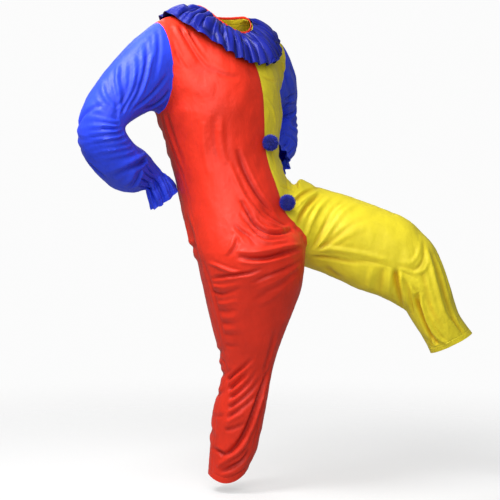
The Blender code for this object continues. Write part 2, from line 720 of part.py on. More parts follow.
def body_pieces():
    """Points and faces of the four panels and two sleeves, by name."""
    pieces = {}
    for side in (RIGHT, LEFT):
        for face in ("front", "back"):
            grid = panel_grid(side, face)
            points = grid.reshape(-1, 3)
            faces = grid_faces(grid.shape[0], grid.shape[1])
            level = np.array([0.0, 0.0, 1.0])
            yoke = faces[:ARMHOLE_ROWS * PANEL_COLUMNS]
            turned = orient(points, yoke, lambda middles: middles * level + (0, 0.02, 0))
            if turned[0] != yoke[0]:
                faces = [tuple(reversed(quad)) for quad in faces]
            pieces[f"{face}_{side}"] = (points, faces)
    body = surface_tree(pieces)
    for side in (RIGHT, LEFT):
        rings = sleeve_rings(side, body)
        points = np.concatenate(rings)
        faces = ring_faces(rings)
        centre = rings[2].mean(axis=0)
        first = faces[len(rings[0]):3 * len(rings[0])]
        if orient(points, first, lambda middles: centre)[0] != first[0]:
            faces = [tuple(reversed(face)) for face in faces]
        pieces[f"sleeve_{side}"] = (points, faces)
    return eased(pieces)


def build_body():
    """Panels and sleeves, folded, with their seams apart."""
    pieces = body_pieces()
    normals = shared_normals(pieces)
    folded = {}
    for name, (points, faces) in pieces.items():
        side = RIGHT if name.endswith(RIGHT) else LEFT
        if name.startswith("sleeve"):
            offsets = np.zeros(len(points))
        else:
            offsets = fold_offsets(points, side)
        folded[name] = (points, faces, offsets)
    offset_at = {}
    for points, faces, offsets in folded.values():
        for point, offset in zip(points, offsets):
            offset_at.setdefault(tuple(np.round(point, 6)), []).append(offset)
    moved = {}
    for name, (points, faces, offsets) in folded.items():
        shared = np.array([np.mean(offset_at[tuple(np.round(point, 6))]) for point in points])
        moved[name] = (points + normals[name] * shared[:, None], faces)
    normals = shared_normals(moved)
    for name, (points, faces) in moved.items():
        colour = "blue" if name.startswith("sleeve") else "red" if RIGHT in name else "yellow"
        points = points + seam_insets(points, faces, normals[name])
        cloth_object(name, points, faces, normals[name], colour)
    return moved


def collar_fall(turn):
    """Fall of the collar at a turn from the front: outwards, and down over the body."""
    ahead = math.cos(turn)
    end = COLLAR_FRONT_DROP if ahead > 0 else COLLAR_BACK_DROP
    drop = COLLAR_SIDE_DROP + (end - COLLAR_SIDE_DROP) * abs(ahead) ** 0.7
    return math.sqrt(COLLAR_DEPTH ** 2 - drop ** 2), drop


def build_collar(body):
    """The gathered collar: an open strip round the neck, waving more towards its hem."""
    columns = COLLAR_WAVES * 4 + 1
    start = math.pi - BACK_SLIT / NECK_BACK
    tree = surface_tree(body)
    points = []
    for row in range(COLLAR_ROWS + 1):
        part = row / COLLAR_ROWS
        for column in range(columns):
            turn = -start + 2 * start * column / (columns - 1)
            base = neck_edge(turn)
            away = unit(base * np.array([1.0, 1.0, 0.0]))
            out, drop = collar_fall(turn)
            phase = 2 * math.pi * COLLAR_WAVES * (turn + start) / (2 * start)
            uneven = (1 + COLLAR_UNEVEN * math.sin(2.3 * turn + 0.8)
                      + COLLAR_RAGGED * math.sin(5.1 * turn))
            height = COLLAR_WAVE * uneven * part ** 0.8
            slope = unit(away * drop + np.array([0, 0, out]))
            roll = -NECK_ROLL * base[0] * part
            arch = COLLAR_ARCH * math.sin(math.pi * part)
            point = base + away * out * part - np.array([0, 0, drop * part - roll])
            clearance = COLLAR_CLEARANCE + height * 1.1
            point = clear_of(tree, point + slope * (clearance + arch), clearance)
            points.append(point + slope * height * math.sin(phase))
    points = np.array(points)
    faces = grid_faces(COLLAR_ROWS + 1, columns)
    faces = orient(points, faces, lambda middles: middles - np.array([0, 0, 1.0]))
    normals = shared_normals({"collar": (points, faces)})["collar"]
    cloth_object("collar_ruffle", points, faces, normals, "blue", wall=COLLAR_WALL)


def build_binding():
    """The binding: a narrow band that stands on the neckline, open at the centre back."""
    start = math.pi - BACK_SLIT / NECK_BACK
    rows = []
    for height in (BINDING_SEAT, BINDING_HEIGHT):
        for column in range(BINDING_COLUMNS + 1):
            turn = -start + 2 * start * column / BINDING_COLUMNS
            base = neck_edge(turn)
            lean = unit(base * np.array([1.0, 1.0, 0.0])) * -BINDING_LEAN
            rows.append(base + unit(lean + np.array([0, 0, 1.0])) * height)
    points = np.array(rows)
    faces = grid_faces(2, BINDING_COLUMNS + 1)
    faces = orient(points, faces, lambda middles: middles * np.array([0, 0, 1.0]))
    normals = shared_normals({"binding": (points, faces)})["binding"]
    cloth_object("neck_binding", points, faces, normals, "red", wall=BINDING_WALL)


def build_pompom(name, centre, outward):
    """A pompom: a dense core with yarn locks all round, bald where it meets the cloth."""
    work = bmesh.new()
    bmesh.ops.create_icosphere(work, subdivisions=2, radius=POMPOM_CORE)
    outward = Vector(outward)
    locks = [face for face in work.faces
             if face.calc_center_median().normalized().dot(outward) > -1 + 2 * POMPOM_BALD]
    bmesh.ops.inset_individual(work, faces=locks, thickness=POMPOM_PARTING)
    tips = bmesh.ops.poke(work, faces=locks)["verts"]
    for tip in tips:
        ragged = 1 + math.sin(tip.co.x * 900 + tip.co.y * 700)
        tip.co = tip.co.normalized() * (POMPOM_REACH - POMPOM_RAGGED / 2 * ragged)
    mesh = bpy.data.meshes.new(name)
    work.to_mesh(mesh)
    work.free()
    mesh.transform(Matrix.Translation(Vector(centre)))
    return add_object(name, mesh, "blue", YARN_ROUGHNESS)


def build_pompoms(body):
    """Both pompoms, seated on the centre-front seam."""
    seams = [body[f"front_{side}"][0].reshape(-1, PANEL_COLUMNS + 1, 3) for side in (RIGHT, LEFT)]
    tree = surface_tree(body)
    reach = POMPOM_CORE + WALL / 2 + SEAM_GAP
    for name, place in POMPOMS.items():
        row = ARMHOLE_ROWS + place * ROWS_PER_SECTION
        right, left = (curve_through(seam[:, 1], row) for seam in seams)
        seat = curve_through(seams[0][:, 0], row)
        along = unit(curve_through(seams[0][:, 0], row + 1) - seat)
        outward = unit(np.cross(left - right, along))
        if outward[1] > 0:
            outward = -outward
        centre = seat + outward * reach
        for _ in range(POMPOM_SETTLES):
            nearest = np.array(tree.find_nearest(Vector(centre))[0])
            centre = nearest + unit(centre - nearest) * reach
        build_pompom(name, centre, outward)


def main():
    """Clear the scene and build every piece."""
    for item in list(bpy.data.objects):
        bpy.data.objects.remove(item)
    body = build_body()
    build_collar(body)
    build_binding()
    build_pompoms(body)


main()
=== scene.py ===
"""Clown costume, dressed: folded cloth, seams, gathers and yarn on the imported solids.

Metres, +Z up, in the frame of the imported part. Every piece rides on the one body, root.
"""

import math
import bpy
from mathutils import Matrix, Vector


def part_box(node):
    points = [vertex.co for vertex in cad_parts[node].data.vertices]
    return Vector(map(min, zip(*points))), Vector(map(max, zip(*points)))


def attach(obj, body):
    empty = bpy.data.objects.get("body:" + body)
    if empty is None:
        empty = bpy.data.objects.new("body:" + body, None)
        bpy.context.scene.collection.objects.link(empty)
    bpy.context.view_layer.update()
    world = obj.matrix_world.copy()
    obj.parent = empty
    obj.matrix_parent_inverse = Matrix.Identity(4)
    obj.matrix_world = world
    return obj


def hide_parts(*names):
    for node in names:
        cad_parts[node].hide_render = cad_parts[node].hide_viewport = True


bl_info = {
    "name": "Clown Costume",
    "version": (1, 0, 0),
    "blender": (4, 5, 0),
    "location": "3D View > Sidebar > Costume",
    "description": "Dresses the solids of a worn clown jumpsuit in cloth, gathers and yarn",
    "category": "Add Mesh",
}

from collections import namedtuple

import bmesh
import bpy
import numpy as np
from mathutils import Matrix, Vector, noise
from mathutils.bvhtree import BVHTree
from mathutils.kdtree import KDTree

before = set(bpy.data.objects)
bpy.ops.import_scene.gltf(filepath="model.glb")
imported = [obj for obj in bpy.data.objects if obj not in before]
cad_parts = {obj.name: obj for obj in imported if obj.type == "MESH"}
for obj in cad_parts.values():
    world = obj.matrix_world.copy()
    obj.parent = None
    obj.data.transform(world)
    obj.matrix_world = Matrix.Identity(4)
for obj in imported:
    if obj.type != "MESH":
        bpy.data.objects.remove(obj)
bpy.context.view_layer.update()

# Panels and sleeves, sewn to one another; their order is the material index of their faces
Piece = namedtuple("Piece", "node cloth colour width length area held")
BODY_PIECES = [
    Piece("front_right", "red_front", "red", 0.50, 1.62, 0.51, "hung"),
    Piece("back_right", "red_back", "red", 0.42, 1.62, 0.42, "hung"),
    Piece("front_left", "yellow_front", "yellow", 0.42, 1.62, 0.42, "hung"),
    Piece("back_left", "yellow_back", "yellow", 0.44, 1.70, 0.42, "hung"),
    Piece("sleeve_right", "blue_sleeve_right", "blue", 0.56, 0.76, 0.32, "gathered"),
    Piece("sleeve_left", "blue_sleeve_left", "blue", 0.56, 0.60, 0.24, "gathered"),
]
MERGE = 0.00002            # corners of a solid's loose triangles this close are one
RIM = 0.0032               # the rim of a cloth wall is narrower than this, its faces wider
FLAT_ENOUGH = math.radians(75)     # two triangles of a wall are made one face up to this
SEAM_REACH = 0.0008        # edges of two pieces this close are one seam
EDGE_ANGLE = math.radians(65)      # sharper edges are shaded as edges
SEAM_GROOVE = 0.004        # half-width of the groove along a seam
SEAM_STIFF = 0.012         # half-width of the strip where a seam flattens the folds
SEAM_HOLD = 0.6            # share of a fold's height that a seam takes away
HEM_DEPTH = 0.018          # from the edge of a hem to its stitching
STITCH = 0.0024            # half-width of the stitching's groove
HEM_MIDDLE = (-0.058, -0.084)      # middle of the right leg's hem, where it hangs lowest
HEM_ACROSS = (0.669, -0.743)       # direction in which that hem rises most
HEM_REACH, HEM_LIFT = 0.055, 0.022         # that hem's half-width, and its rise over that
HEM_LOWEST = -0.2                  # where it is lowest, in half-widths from its middle
HEM_FROM = 0.11                    # how far above the hem the lift begins
HEM_LEVEL = 0.02                   # open edges this far above the lowest place are that hem

# The cloth's waves and small creases: noise per metre across and down
WIDE, WIDE_DOWN = 11, 5
SMALL, SMALL_DOWN = 34, 20
FINE, FINE_DOWN = 80, 55
SMALL_SHARE, FINE_LEVEL = 1.6, 0.3         # height of the small ones, and level of the fine

# The collar. Its gathers are narrow valleys between broad ridges, with finer pleats on them.
COLLAR_WIDTH = 0.125
COLLAR_OVAL = (1.0, 1.1)           # the neckline is narrower from front to back
COLLAR_INNER, COLLAR_OUT = 0.09, 0.11      # radius at the neck, and from there to the edge
GATHERS, GATHER_TURN = 6.2, 1.5    # noise per radian round the neck, and out to the edge
PLEATS, PLEAT_TURN = 17, 1.8
PLEAT_SHARE = 0.30                 # height of the pleats beside that of the gathers
COLLAR_VALLEY = 0.30               # how wide the valleys between the gathers are
COLLAR_ROUND = 0.7                 # below 1 the ridges between them are broad
COLLAR_START, COLLAR_END = 0.40, 0.70      # height at the neck, and what the edge takes away
COLLAR_SHADE, COLLAR_SHADE_FROM = 2.2, 0.55     # how fast the painted shade deepens in a valley
BINDING_PUCKER = 0.0005            # how far the neck binding puckers
PUCKERS, PUCKERS_DOWN = 90, 40     # noise per metre round it, and down

# The pompoms, in metres
POMPOM_SEAT = 0.0195               # from the cloth to the middle of a pompom
POMPOM_REACH = 0.0240              # radius at the tips of the yarn
POMPOM_CORE = 0.0150               # radius of the dense middle
POMPOM_BACK = 0.0006               # what the yarn leaves free in front of the cloth
POMPOM_FLAT = 0.2                  # yarn that points further back than this is cut short
STRAND_BEND = 0.0016               # how far the tip of a yarn end leans over
STRAND_TURN = 1.9                  # how far round the lean turns from one yarn end to the next
STRAND_LENGTHS = ((0.07, 2.7), (0.05, 7.1))    # unevenness, and its turn from end to end
STRAND_SHAPE = ((0.55, 0.6), (0.80, 1.0), (0.96, 0.85), (1.0, 0.45))   # place, thickness

# Drawings that the folds are placed on, by azimuth and elevation in degrees. Each is 500 units
# wide and high, which are 1.55 m at the costume, and is seen from 5 m away.
DRAWING_WIDTH = 500
DRAWING_UNIT = 1.55 / DRAWING_WIDTH
DRAWING_MIDDLE = Vector((0.060, -0.063, -0.7192))
DRAWING_DISTANCE = 5.0
DRAWINGS = {"front": (-48, 3), "back": (132, 6), "left": (60, 4), "right": (-125, 4)}

# Folds. First the half-width in mm, then the height in mm outwards, where a minus is a trough.
# Next the end near which the fold is strongest, or "ends" where it runs out towards both. Last
# its path on the drawing, across from its left and down from its top.
SLEEVE_FOLDS = [
    # upper arm, from the sleeve head down to the inner elbow
    (6, -4, "ends", [(157, 28), (159, 42), (158, 60), (154, 82)]),
    (5, -4, "ends", [(151, 33), (152, 48), (149, 62)]),
    (6, -6, "ends", [(146, 40), (147, 55), (144, 74), (138, 94), (127, 112)]),
    (5, 4, "ends", [(153, 40), (151, 60), (147, 78), (141, 98)]),
    (5, -5, "end", [(139, 52), (140, 68), (136, 86), (127, 104), (122, 114)]),
    (5, 4, "ends", [(142, 48), (143, 66), (139, 84)]),
    (6, -5, "end", [(129, 56), (130, 72), (128, 90), (122, 108)]),
    (5, 4, "ends", [(134, 56), (135, 72), (131, 90)]),
    (6, -5, "end", [(122, 62), (121, 76), (124, 90), (121, 106)]),
    (6, 5, "ends", [(118, 64), (117, 80), (119, 96)]),
    (6, -5, "end", [(114, 68), (113, 82), (116, 96), (119, 108)]),
    (6, -5, "end", [(106, 76), (108, 90), (114, 102), (120, 112)]),
    (5, 4, "ends", [(102, 80), (104, 94), (110, 104)]),
    (6, -5, "end", [(97, 86), (101, 98), (110, 107), (120, 115)]),
    (6, -4, "end", [(92, 98), (98, 105), (108, 111), (119, 118)]),
    (7, -7, "ends", [(171, 90), (163, 99), (154, 106), (144, 109)]),
    (6, -5, "ends", [(168, 74), (158, 88), (146, 100), (132, 110)]),
    # elbow and forearm, fanning from the inner elbow
    (5, -5, "start", [(120, 120), (106, 116), (92, 113), (80, 113)]),
    (5, -6, "start", [(121, 124), (107, 123), (92, 122), (76, 125)]),
    (5, -6, "start", [(122, 128), (108, 129), (92, 130), (74, 134)]),
    (4, 4, "ends", [(118, 126), (104, 126), (88, 126)]),
    (5, -6, "start", [(125, 132), (110, 135), (93, 137), (74, 143)]),
    (4, 4, "ends", [(120, 131), (106, 132), (88, 134)]),
    (5, -6, "start", [(128, 137), (113, 141), (96, 143), (76, 150)]),
    (4, 4, "ends", [(122, 137), (108, 139), (90, 141)]),
    (5, -5, "start", [(131, 143), (117, 147), (100, 149), (80, 154)]),
    (5, -5, "start", [(134, 148), (120, 152), (104, 155), (86, 159)]),
    (4, 4, "ends", [(127, 146), (112, 150), (96, 152)]),
    (5, -5, "start", [(137, 153), (124, 158), (108, 161), (92, 164)]),
    (6, -5, "ends", [(104, 104), (92, 108), (82, 116), (76, 128)]),
    (7, -5, "ends", [(84, 158), (94, 168), (106, 178)]),
    (6, 10, "start", [(146, 154), (134, 160), (120, 167), (104, 174)]),
    (6, -10, "start", [(148, 159), (138, 166), (124, 172), (108, 179)]),
    (7, 5, "ends", [(136, 168), (131, 178), (124, 187)]),
    (6, -5, "ends", [(142, 168), (138, 180), (132, 188)]),
    # wrist gathers and frill
    (3, -5, "ends", [(146, 163), (150, 170), (155, 175)]),
    (3, -5, "ends", [(143, 170), (149, 176), (156, 180)]),
    (3, -5, "ends", [(140, 178), (147, 182), (153, 185)]),
    (3, -4, "ends", [(140, 186), (146, 188), (151, 189)]),
    (5, 7, "start", [(151, 180), (154, 190), (158, 200), (160, 209)]),
    (4, -7, "start", [(149, 184), (152, 195), (156, 208)]),
    (4, -6, "start", [(155, 178), (160, 190), (165, 204), (168, 213)]),
    (5, 5, "start", [(159, 176), (165, 188), (170, 202)]),
    (4, -5, "start", [(163, 174), (169, 184), (173, 196)]),
    # the far sleeve
    (5, -5, "ends", [(281, 62), (285, 74), (288, 88)]),
    (5, -6, "ends", [(284, 100), (290, 97), (297, 93)]),
    (4, -5, "ends", [(284, 106), (291, 104), (298, 102)]),
    (4, 5, "ends", [(284, 103), (291, 101), (298, 98)]),
    (5, -5, "ends", [(282, 118), (288, 114), (294, 112)]),
    (4, -5, "ends", [(280, 132), (286, 134), (294, 132)]),
    (4, -5, "ends", [(279, 142), (285, 145), (292, 142)]),
]
RED_FOLDS = [
    # drags from the shoulder, and the chest
    (6, -6, "start", [(180, 26), (186, 37), (194, 51), (203, 64), (214, 74)]),
    (5, 5, "start", [(184, 29), (191, 41), (199, 54), (209, 66)]),
    (5, -5, "start", [(189, 32), (196, 43), (203, 52)]),
    (7, 4, "start", [(174, 24), (180, 36), (187, 50), (196, 66)]),
    (6, -3, "ends", [(172, 40), (178, 56), (188, 72)]),
    (30, 4, "ends", [(180, 82), (196, 88), (216, 90)]),
    (9, -3, "ends", [(206, 66), (222, 74), (240, 78)]),
    (6, -4, "start", [(161, 113), (166, 130), (174, 152), (184, 182), (190, 200)]),
    (6, -4, "start", [(167, 114), (172, 130), (178, 148), (184, 162)]),
    (6, 4, "ends", [(164, 116), (169, 132), (176, 152), (184, 174)]),
    (8, -3, "ends", [(214, 116), (214, 140), (218, 165)]),
    (8, 3, "ends", [(222, 112), (222, 138), (226, 165)]),
    (9, 4, "ends", [(203, 120), (204, 145), (208, 175)]),
    # long drags down to the fork
    (8, -10, "ends", [(237, 148), (244, 168), (253, 186), (264, 202), (274, 214)]),
    (7, 6, "ends", [(228, 160), (238, 184), (249, 204), (264, 221), (286, 230)]),
    (6, -14, "ends", [(241, 200), (248, 212), (257, 225), (269, 232), (284, 232), (293, 229)]),
    (5, 7, "ends", [(249, 200), (257, 212), (267, 222), (280, 227), (290, 227)]),
    (5, -5, "ends", [(262, 206), (270, 215), (280, 222), (288, 225)]),
    (5, -7, "ends", [(240, 212), (247, 222), (256, 232), (268, 239), (286, 239)]),
    (5, 6, "ends", [(246, 222), (256, 236), (270, 242), (288, 240)]),
    (5, -8, "ends", [(234, 224), (242, 231), (249, 236), (256, 246)]),
    (5, 5, "ends", [(231, 228), (239, 236), (246, 246)]),
    (5, 6, "ends", [(235, 234), (232, 244), (225, 256)]),
    (4, -5, "ends", [(238, 238), (236, 247), (229, 257)]),
    (6, 6, "ends", [(304, 244), (288, 246), (270, 250), (252, 252), (236, 251)]),
    (7, -12, "ends", [(303, 248), (286, 253), (268, 258), (252, 259), (238, 257)]),
    (6, 6, "ends", [(307, 252), (290, 258), (272, 263), (254, 270), (242, 274)]),
    (5, -8, "ends", [(262, 268), (250, 273), (236, 275), (222, 277), (211, 279)]),
    (5, 6, "ends", [(208, 262), (220, 267), (230, 271), (240, 273)]),
    (6, -6, "ends", [(302, 260), (286, 269), (268, 276), (250, 284)]),
    (5, 4, "ends", [(300, 265), (286, 275), (270, 284), (256, 291)]),
    (6, -4, "ends", [(298, 272), (284, 283), (268, 292), (254, 300)]),
    (5, 4, "ends", [(286, 287), (272, 298), (258, 306)]),
    # short wrinkles beside the outseam
    (5, -7, "start", [(212, 292), (222, 294), (232, 291), (241, 287)]),
    (5, 5, "start", [(212, 286), (224, 287), (238, 284)]),
    (5, -5, "start", [(218, 311), (228, 311), (238, 309)]),
    (5, 5, "start", [(217, 304), (228, 303), (240, 300)]),
    (5, -5, "start", [(222, 323), (230, 323), (240, 322)]),
    (5, 4, "start", [(221, 317), (230, 317), (240, 315)]),
    (5, -4, "start", [(224, 334), (232, 335), (241, 334)]),
    (5, 4, "start", [(224, 329), (232, 329), (241, 328)]),
    (5, -4, "start", [(226, 345), (233, 346), (240, 345)]),
    (6, 4, "ends", [(193, 236), (201, 260), (209, 286), (217, 314)]),
    (5, -5, "ends", [(198, 244), (205, 265), (213, 290), (220, 318), (225, 345)]),
    (5, -4, "ends", [(216, 318), (218, 330), (222, 342)]),
    (4, -6, "ends", [(218, 356), (224, 362), (227, 372)]),
    # back of the knee and the shin
    (5, -11, "start", [(226, 380), (233, 375), (242, 368), (253, 358)]),
    (5, 9, "start", [(228, 384), (236, 377), (246, 369), (256, 360)]),
    (5, -10, "start", [(228, 390), (237, 382), (248, 372)]),
    (5, -9, "start", [(229, 398), (239, 391), (250, 380), (258, 368)]),
    (4, 8, "start", [(229, 394), (239, 386), (250, 376)]),
    (5, -10, "start", [(228, 408), (240, 400), (252, 389), (263, 374)]),
    (4, 5, "start", [(228, 403), (240, 395), (252, 384)]),
    (5, -9, "start", [(227, 417), (238, 410), (250, 401), (258, 392)]),
    (4, 8, "start", [(226, 423), (236, 417), (246, 412)]),
    (5, -9, "start", [(225, 430), (236, 427), (248, 421)]),
    (6, -17, "ends", [(267, 372), (261, 390), (255, 408), (248, 426), (240, 441), (230, 452),
                      (219, 455)]),
    (6, 10, "ends", [(273, 362), (265, 385), (258, 410), (251, 430), (242, 446), (232, 456)]),
    (4, -5, "ends", [(265, 392), (261, 412), (257, 432), (252, 450)]),
    (6, 10, "ends", [(250, 437), (240, 451), (228, 459), (216, 467)]),
    (6, -10, "ends", [(250, 449), (242, 461), (230, 468), (220, 472)]),
    (5, 4, "ends", [(249, 462), (238, 471), (224, 476)]),
    (5, -5, "ends", [(213, 398), (219, 394), (226, 387)]),
    (5, -5, "ends", [(211, 415), (218, 416), (225, 414)]),
    (5, -9, "ends", [(212, 448), (218, 451), (225, 455)]),
    (8, -4, "ends", [(275, 330), (270, 352), (263, 374)]),
]
YELLOW_FOLDS = [
    # torso
    (5, -3, "ends", [(262, 76), (271, 80), (282, 81)]),
    (6, 3, "ends", [(266, 98), (274, 112), (277, 130)]),
    (5, -3, "ends", [(268, 140), (271, 152), (274, 166)]),
    (6, 7, "ends", [(289, 175), (292, 180), (293, 187)]),
    (4, -6, "ends", [(286, 174), (287, 181), (288, 188)]),
    (4, -5, "ends", [(297, 179), (297, 184), (300, 188)]),
    (4, -3, "ends", [(280, 186), (288, 188), (296, 192)]),
    # thigh, fanning up from the fork
    (5, -7, "ends", [(290, 209), (297, 199), (306, 192), (320, 187)]),
    (4, 5, "ends", [(296, 209), (305, 199), (320, 191)]),
    (7, -9, "ends", [(296, 230), (301, 216), (309, 204), (321, 193)]),
    (7, 7, "ends", [(304, 243), (310, 225), (319, 208), (331, 196)]),
    (6, -6, "start", [(312, 250), (320, 234), (328, 219), (336, 207), (345, 200)]),
    (4, 7, "start", [(313, 252), (324, 239), (333, 225), (343, 212), (355, 204), (368, 205)]),
    (4, -5, "start", [(317, 251), (329, 238), (339, 224), (350, 212), (362, 207)]),
    (4, 5, "ends", [(327, 220), (337, 209), (350, 201)]),
    (5, -7, "start", [(315, 252), (328, 243), (342, 232), (356, 222), (372, 216)]),
    (4, 4, "start", [(318, 253), (332, 246), (348, 236), (366, 226)]),
    (4, -4, "start", [(322, 252), (338, 244), (354, 236), (370, 230)]),
    # inseam
    (7, 7, "start", [(314, 252), (330, 249), (350, 252), (372, 256), (392, 262)]),
    (6, -9, "start", [(313, 257), (330, 258), (350, 261), (372, 262), (390, 264)]),
    (8, -4, "ends", [(383, 266), (381, 282), (379, 297)]),
    (6, 6, "ends", [(391, 268), (390, 284), (388, 299)]),
    (9, 4, "ends", [(372, 268), (370, 282), (366, 292)]),
    (12, -4, "ends", [(326, 266), (332, 272), (342, 278)]),
    # knee
    (4, -4, "ends", [(393, 264), (404, 267), (415, 269), (422, 262), (424, 250), (423, 240)]),
    (6, 3, "ends", [(400, 262), (412, 262), (418, 254), (420, 242)]),
    (5, 3, "ends", [(395, 268), (404, 270), (416, 273), (426, 268), (428, 252)]),
    (3, -5, "ends", [(396, 272), (405, 273), (416, 277)]),
    (7, -20, "start", [(396, 269), (397, 281), (399, 294), (402, 308)]),
    (4, 7, "ends", [(400, 272), (403, 286), (407, 300), (411, 312)]),
    (4, -5, "ends", [(403, 277), (408, 287), (411, 300), (414, 314)]),
    (4, 6, "ends", [(399, 270), (407, 281), (414, 292), (420, 305), (424, 318)]),
    (7, -18, "ends", [(416, 293), (419, 306), (424, 320), (430, 334), (438, 345)]),
    (5, 8, "ends", [(420, 296), (425, 312), (431, 326), (439, 338), (449, 345)]),
    (4, -4, "ends", [(406, 279), (412, 287), (418, 292)]),
    # shin
    (8, 7, "ends", [(426, 246), (432, 268), (438, 292), (446, 316), (460, 333)]),
    (8, -5, "ends", [(422, 270), (426, 290), (433, 312), (446, 332)]),
    (7, -5, "ends", [(432, 252), (441, 278), (447, 300), (455, 322)]),
    (6, 5, "ends", [(436, 250), (446, 276), (452, 302)]),
    (6, -5, "ends", [(452, 316), (458, 326), (465, 334)]),
    (5, -5, "ends", [(428, 322), (430, 336), (432, 348)]),
]
BACK_FOLDS = [
    # back of the body: drags from the shoulders, loose folds at the waist, the seat
    (8, -6, "start", [(246, 56), (250, 74), (256, 96), (262, 116)]),
    (7, -5, "start", [(300, 56), (298, 76), (292, 98), (286, 118)]),
    (7, 5, "start", [(255, 58), (260, 78), (267, 100)]),
    (8, -5, "ends", [(322, 62), (316, 84), (306, 106), (298, 124)]),
    (7, -6, "start", [(336, 112), (326, 122), (312, 134), (296, 142)]),
    (6, 5, "start", [(334, 120), (324, 131), (308, 143)]),
    (7, -6, "start", [(250, 112), (258, 124), (270, 136), (284, 144)]),
    (9, -7, "ends", [(252, 148), (264, 156), (282, 160), (300, 157), (316, 150)]),
    (8, 6, "ends", [(250, 156), (264, 165), (284, 169), (304, 165)]),
    (8, -7, "ends", [(248, 166), (262, 175), (282, 179), (302, 176), (314, 170)]),
    (8, -6, "ends", [(246, 184), (258, 192), (276, 197), (296, 194)]),
    (8, 5, "ends", [(262, 186), (280, 189), (300, 185)]),
    (10, -5, "ends", [(282, 184), (284, 206), (286, 228)]),
    (8, -8, "ends", [(300, 236), (284, 240), (264, 246), (246, 254), (228, 262)]),
    (7, 6, "ends", [(302, 244), (286, 249), (266, 256), (246, 264)]),
    (7, -6, "ends", [(298, 256), (282, 262), (262, 270), (240, 278)]),
    # back of the raised leg
    (8, -7, "start", [(236, 232), (214, 226), (192, 226), (170, 234)]),
    (7, 6, "start", [(238, 240), (216, 236), (194, 237), (174, 244)]),
    (8, -7, "start", [(240, 248), (216, 247), (192, 250), (164, 258)]),
    (8, -5, "ends", [(196, 212), (176, 219), (156, 230), (138, 244)]),
    (8, 5, "ends", [(180, 208), (160, 216), (142, 228)]),
    (7, -8, "ends", [(118, 252), (106, 256), (94, 256), (84, 248), (80, 236)]),
    (6, 7, "ends", [(120, 260), (106, 265), (92, 265), (80, 256)]),
    (7, -8, "ends", [(122, 270), (108, 275), (94, 274), (80, 266), (74, 254)]),
    (6, 5, "ends", [(118, 282), (104, 284), (90, 280)]),
    (7, -6, "ends", [(112, 290), (96, 292), (82, 286), (72, 274)]),
    (8, -6, "ends", [(94, 292), (84, 306), (72, 320), (58, 332)]),
    (7, 5, "ends", [(86, 284), (76, 300), (64, 316)]),
    # back of the standing leg
    (8, -6, "start", [(292, 272), (284, 290), (272, 306), (256, 318)]),
    (7, 5, "start", [(296, 282), (288, 300), (276, 316)]),
    (7, -5, "ends", [(216, 300), (232, 306), (250, 308)]),
    (7, -7, "ends", [(276, 348), (264, 354), (250, 356), (236, 352)]),
    (6, 6, "ends", [(278, 356), (264, 363), (250, 365), (236, 362)]),
    (7, -8, "ends", [(280, 366), (266, 374), (252, 376), (238, 372)]),
    (6, 6, "ends", [(282, 376), (268, 384), (252, 386), (240, 382)]),
    (7, -6, "ends", [(284, 388), (270, 396), (256, 398), (242, 394)]),
    (6, -5, "ends", [(286, 404), (272, 412), (258, 414), (246, 410)]),
    (7, -6, "ends", [(288, 420), (276, 434), (264, 444), (252, 450)]),
    (6, 5, "ends", [(288, 432), (277, 446), (264, 456)]),
    (7, -4, "ends", [(286, 448), (276, 458), (264, 466)]),
    # back of the sleeves
    (6, -6, "ends", [(214, 64), (212, 84), (214, 104)]),
    (6, 5, "ends", [(222, 60), (222, 84), (224, 106)]),
    (6, -6, "start", [(244, 112), (232, 118), (218, 120), (204, 118)]),
    (5, 5, "start", [(245, 119), (232, 125), (216, 127)]),
    (6, -7, "start", [(246, 126), (233, 132), (218, 134), (202, 131)]),
    (5, -6, "start", [(246, 138), (233, 143), (218, 144), (204, 141)]),
    (5, -5, "start", [(244, 150), (232, 153), (218, 153), (206, 150)]),
    (6, -6, "ends", [(358, 46), (368, 62), (380, 80), (390, 98)]),
    (6, 5, "ends", [(352, 54), (362, 72), (372, 90), (380, 106)]),
    (6, -6, "ends", [(350, 66), (356, 84), (364, 102), (370, 116)]),
    (6, -7, "start", [(370, 121), (382, 124), (396, 122), (410, 116)]),
    (5, 5, "start", [(369, 126), (382, 130), (396, 130)]),
    (6, -7, "start", [(366, 131), (380, 137), (394, 138), (410, 132)]),
    (5, -6, "start", [(362, 139), (376, 146), (390, 149), (404, 145)]),
    (5, -5, "start", [(356, 148), (370, 156), (384, 160), (396, 158)]),
    (4, -6, "ends", [(334, 168), (340, 176), (346, 184)]),
    (4, -6, "ends", [(340, 162), (347, 170), (353, 177)]),
]
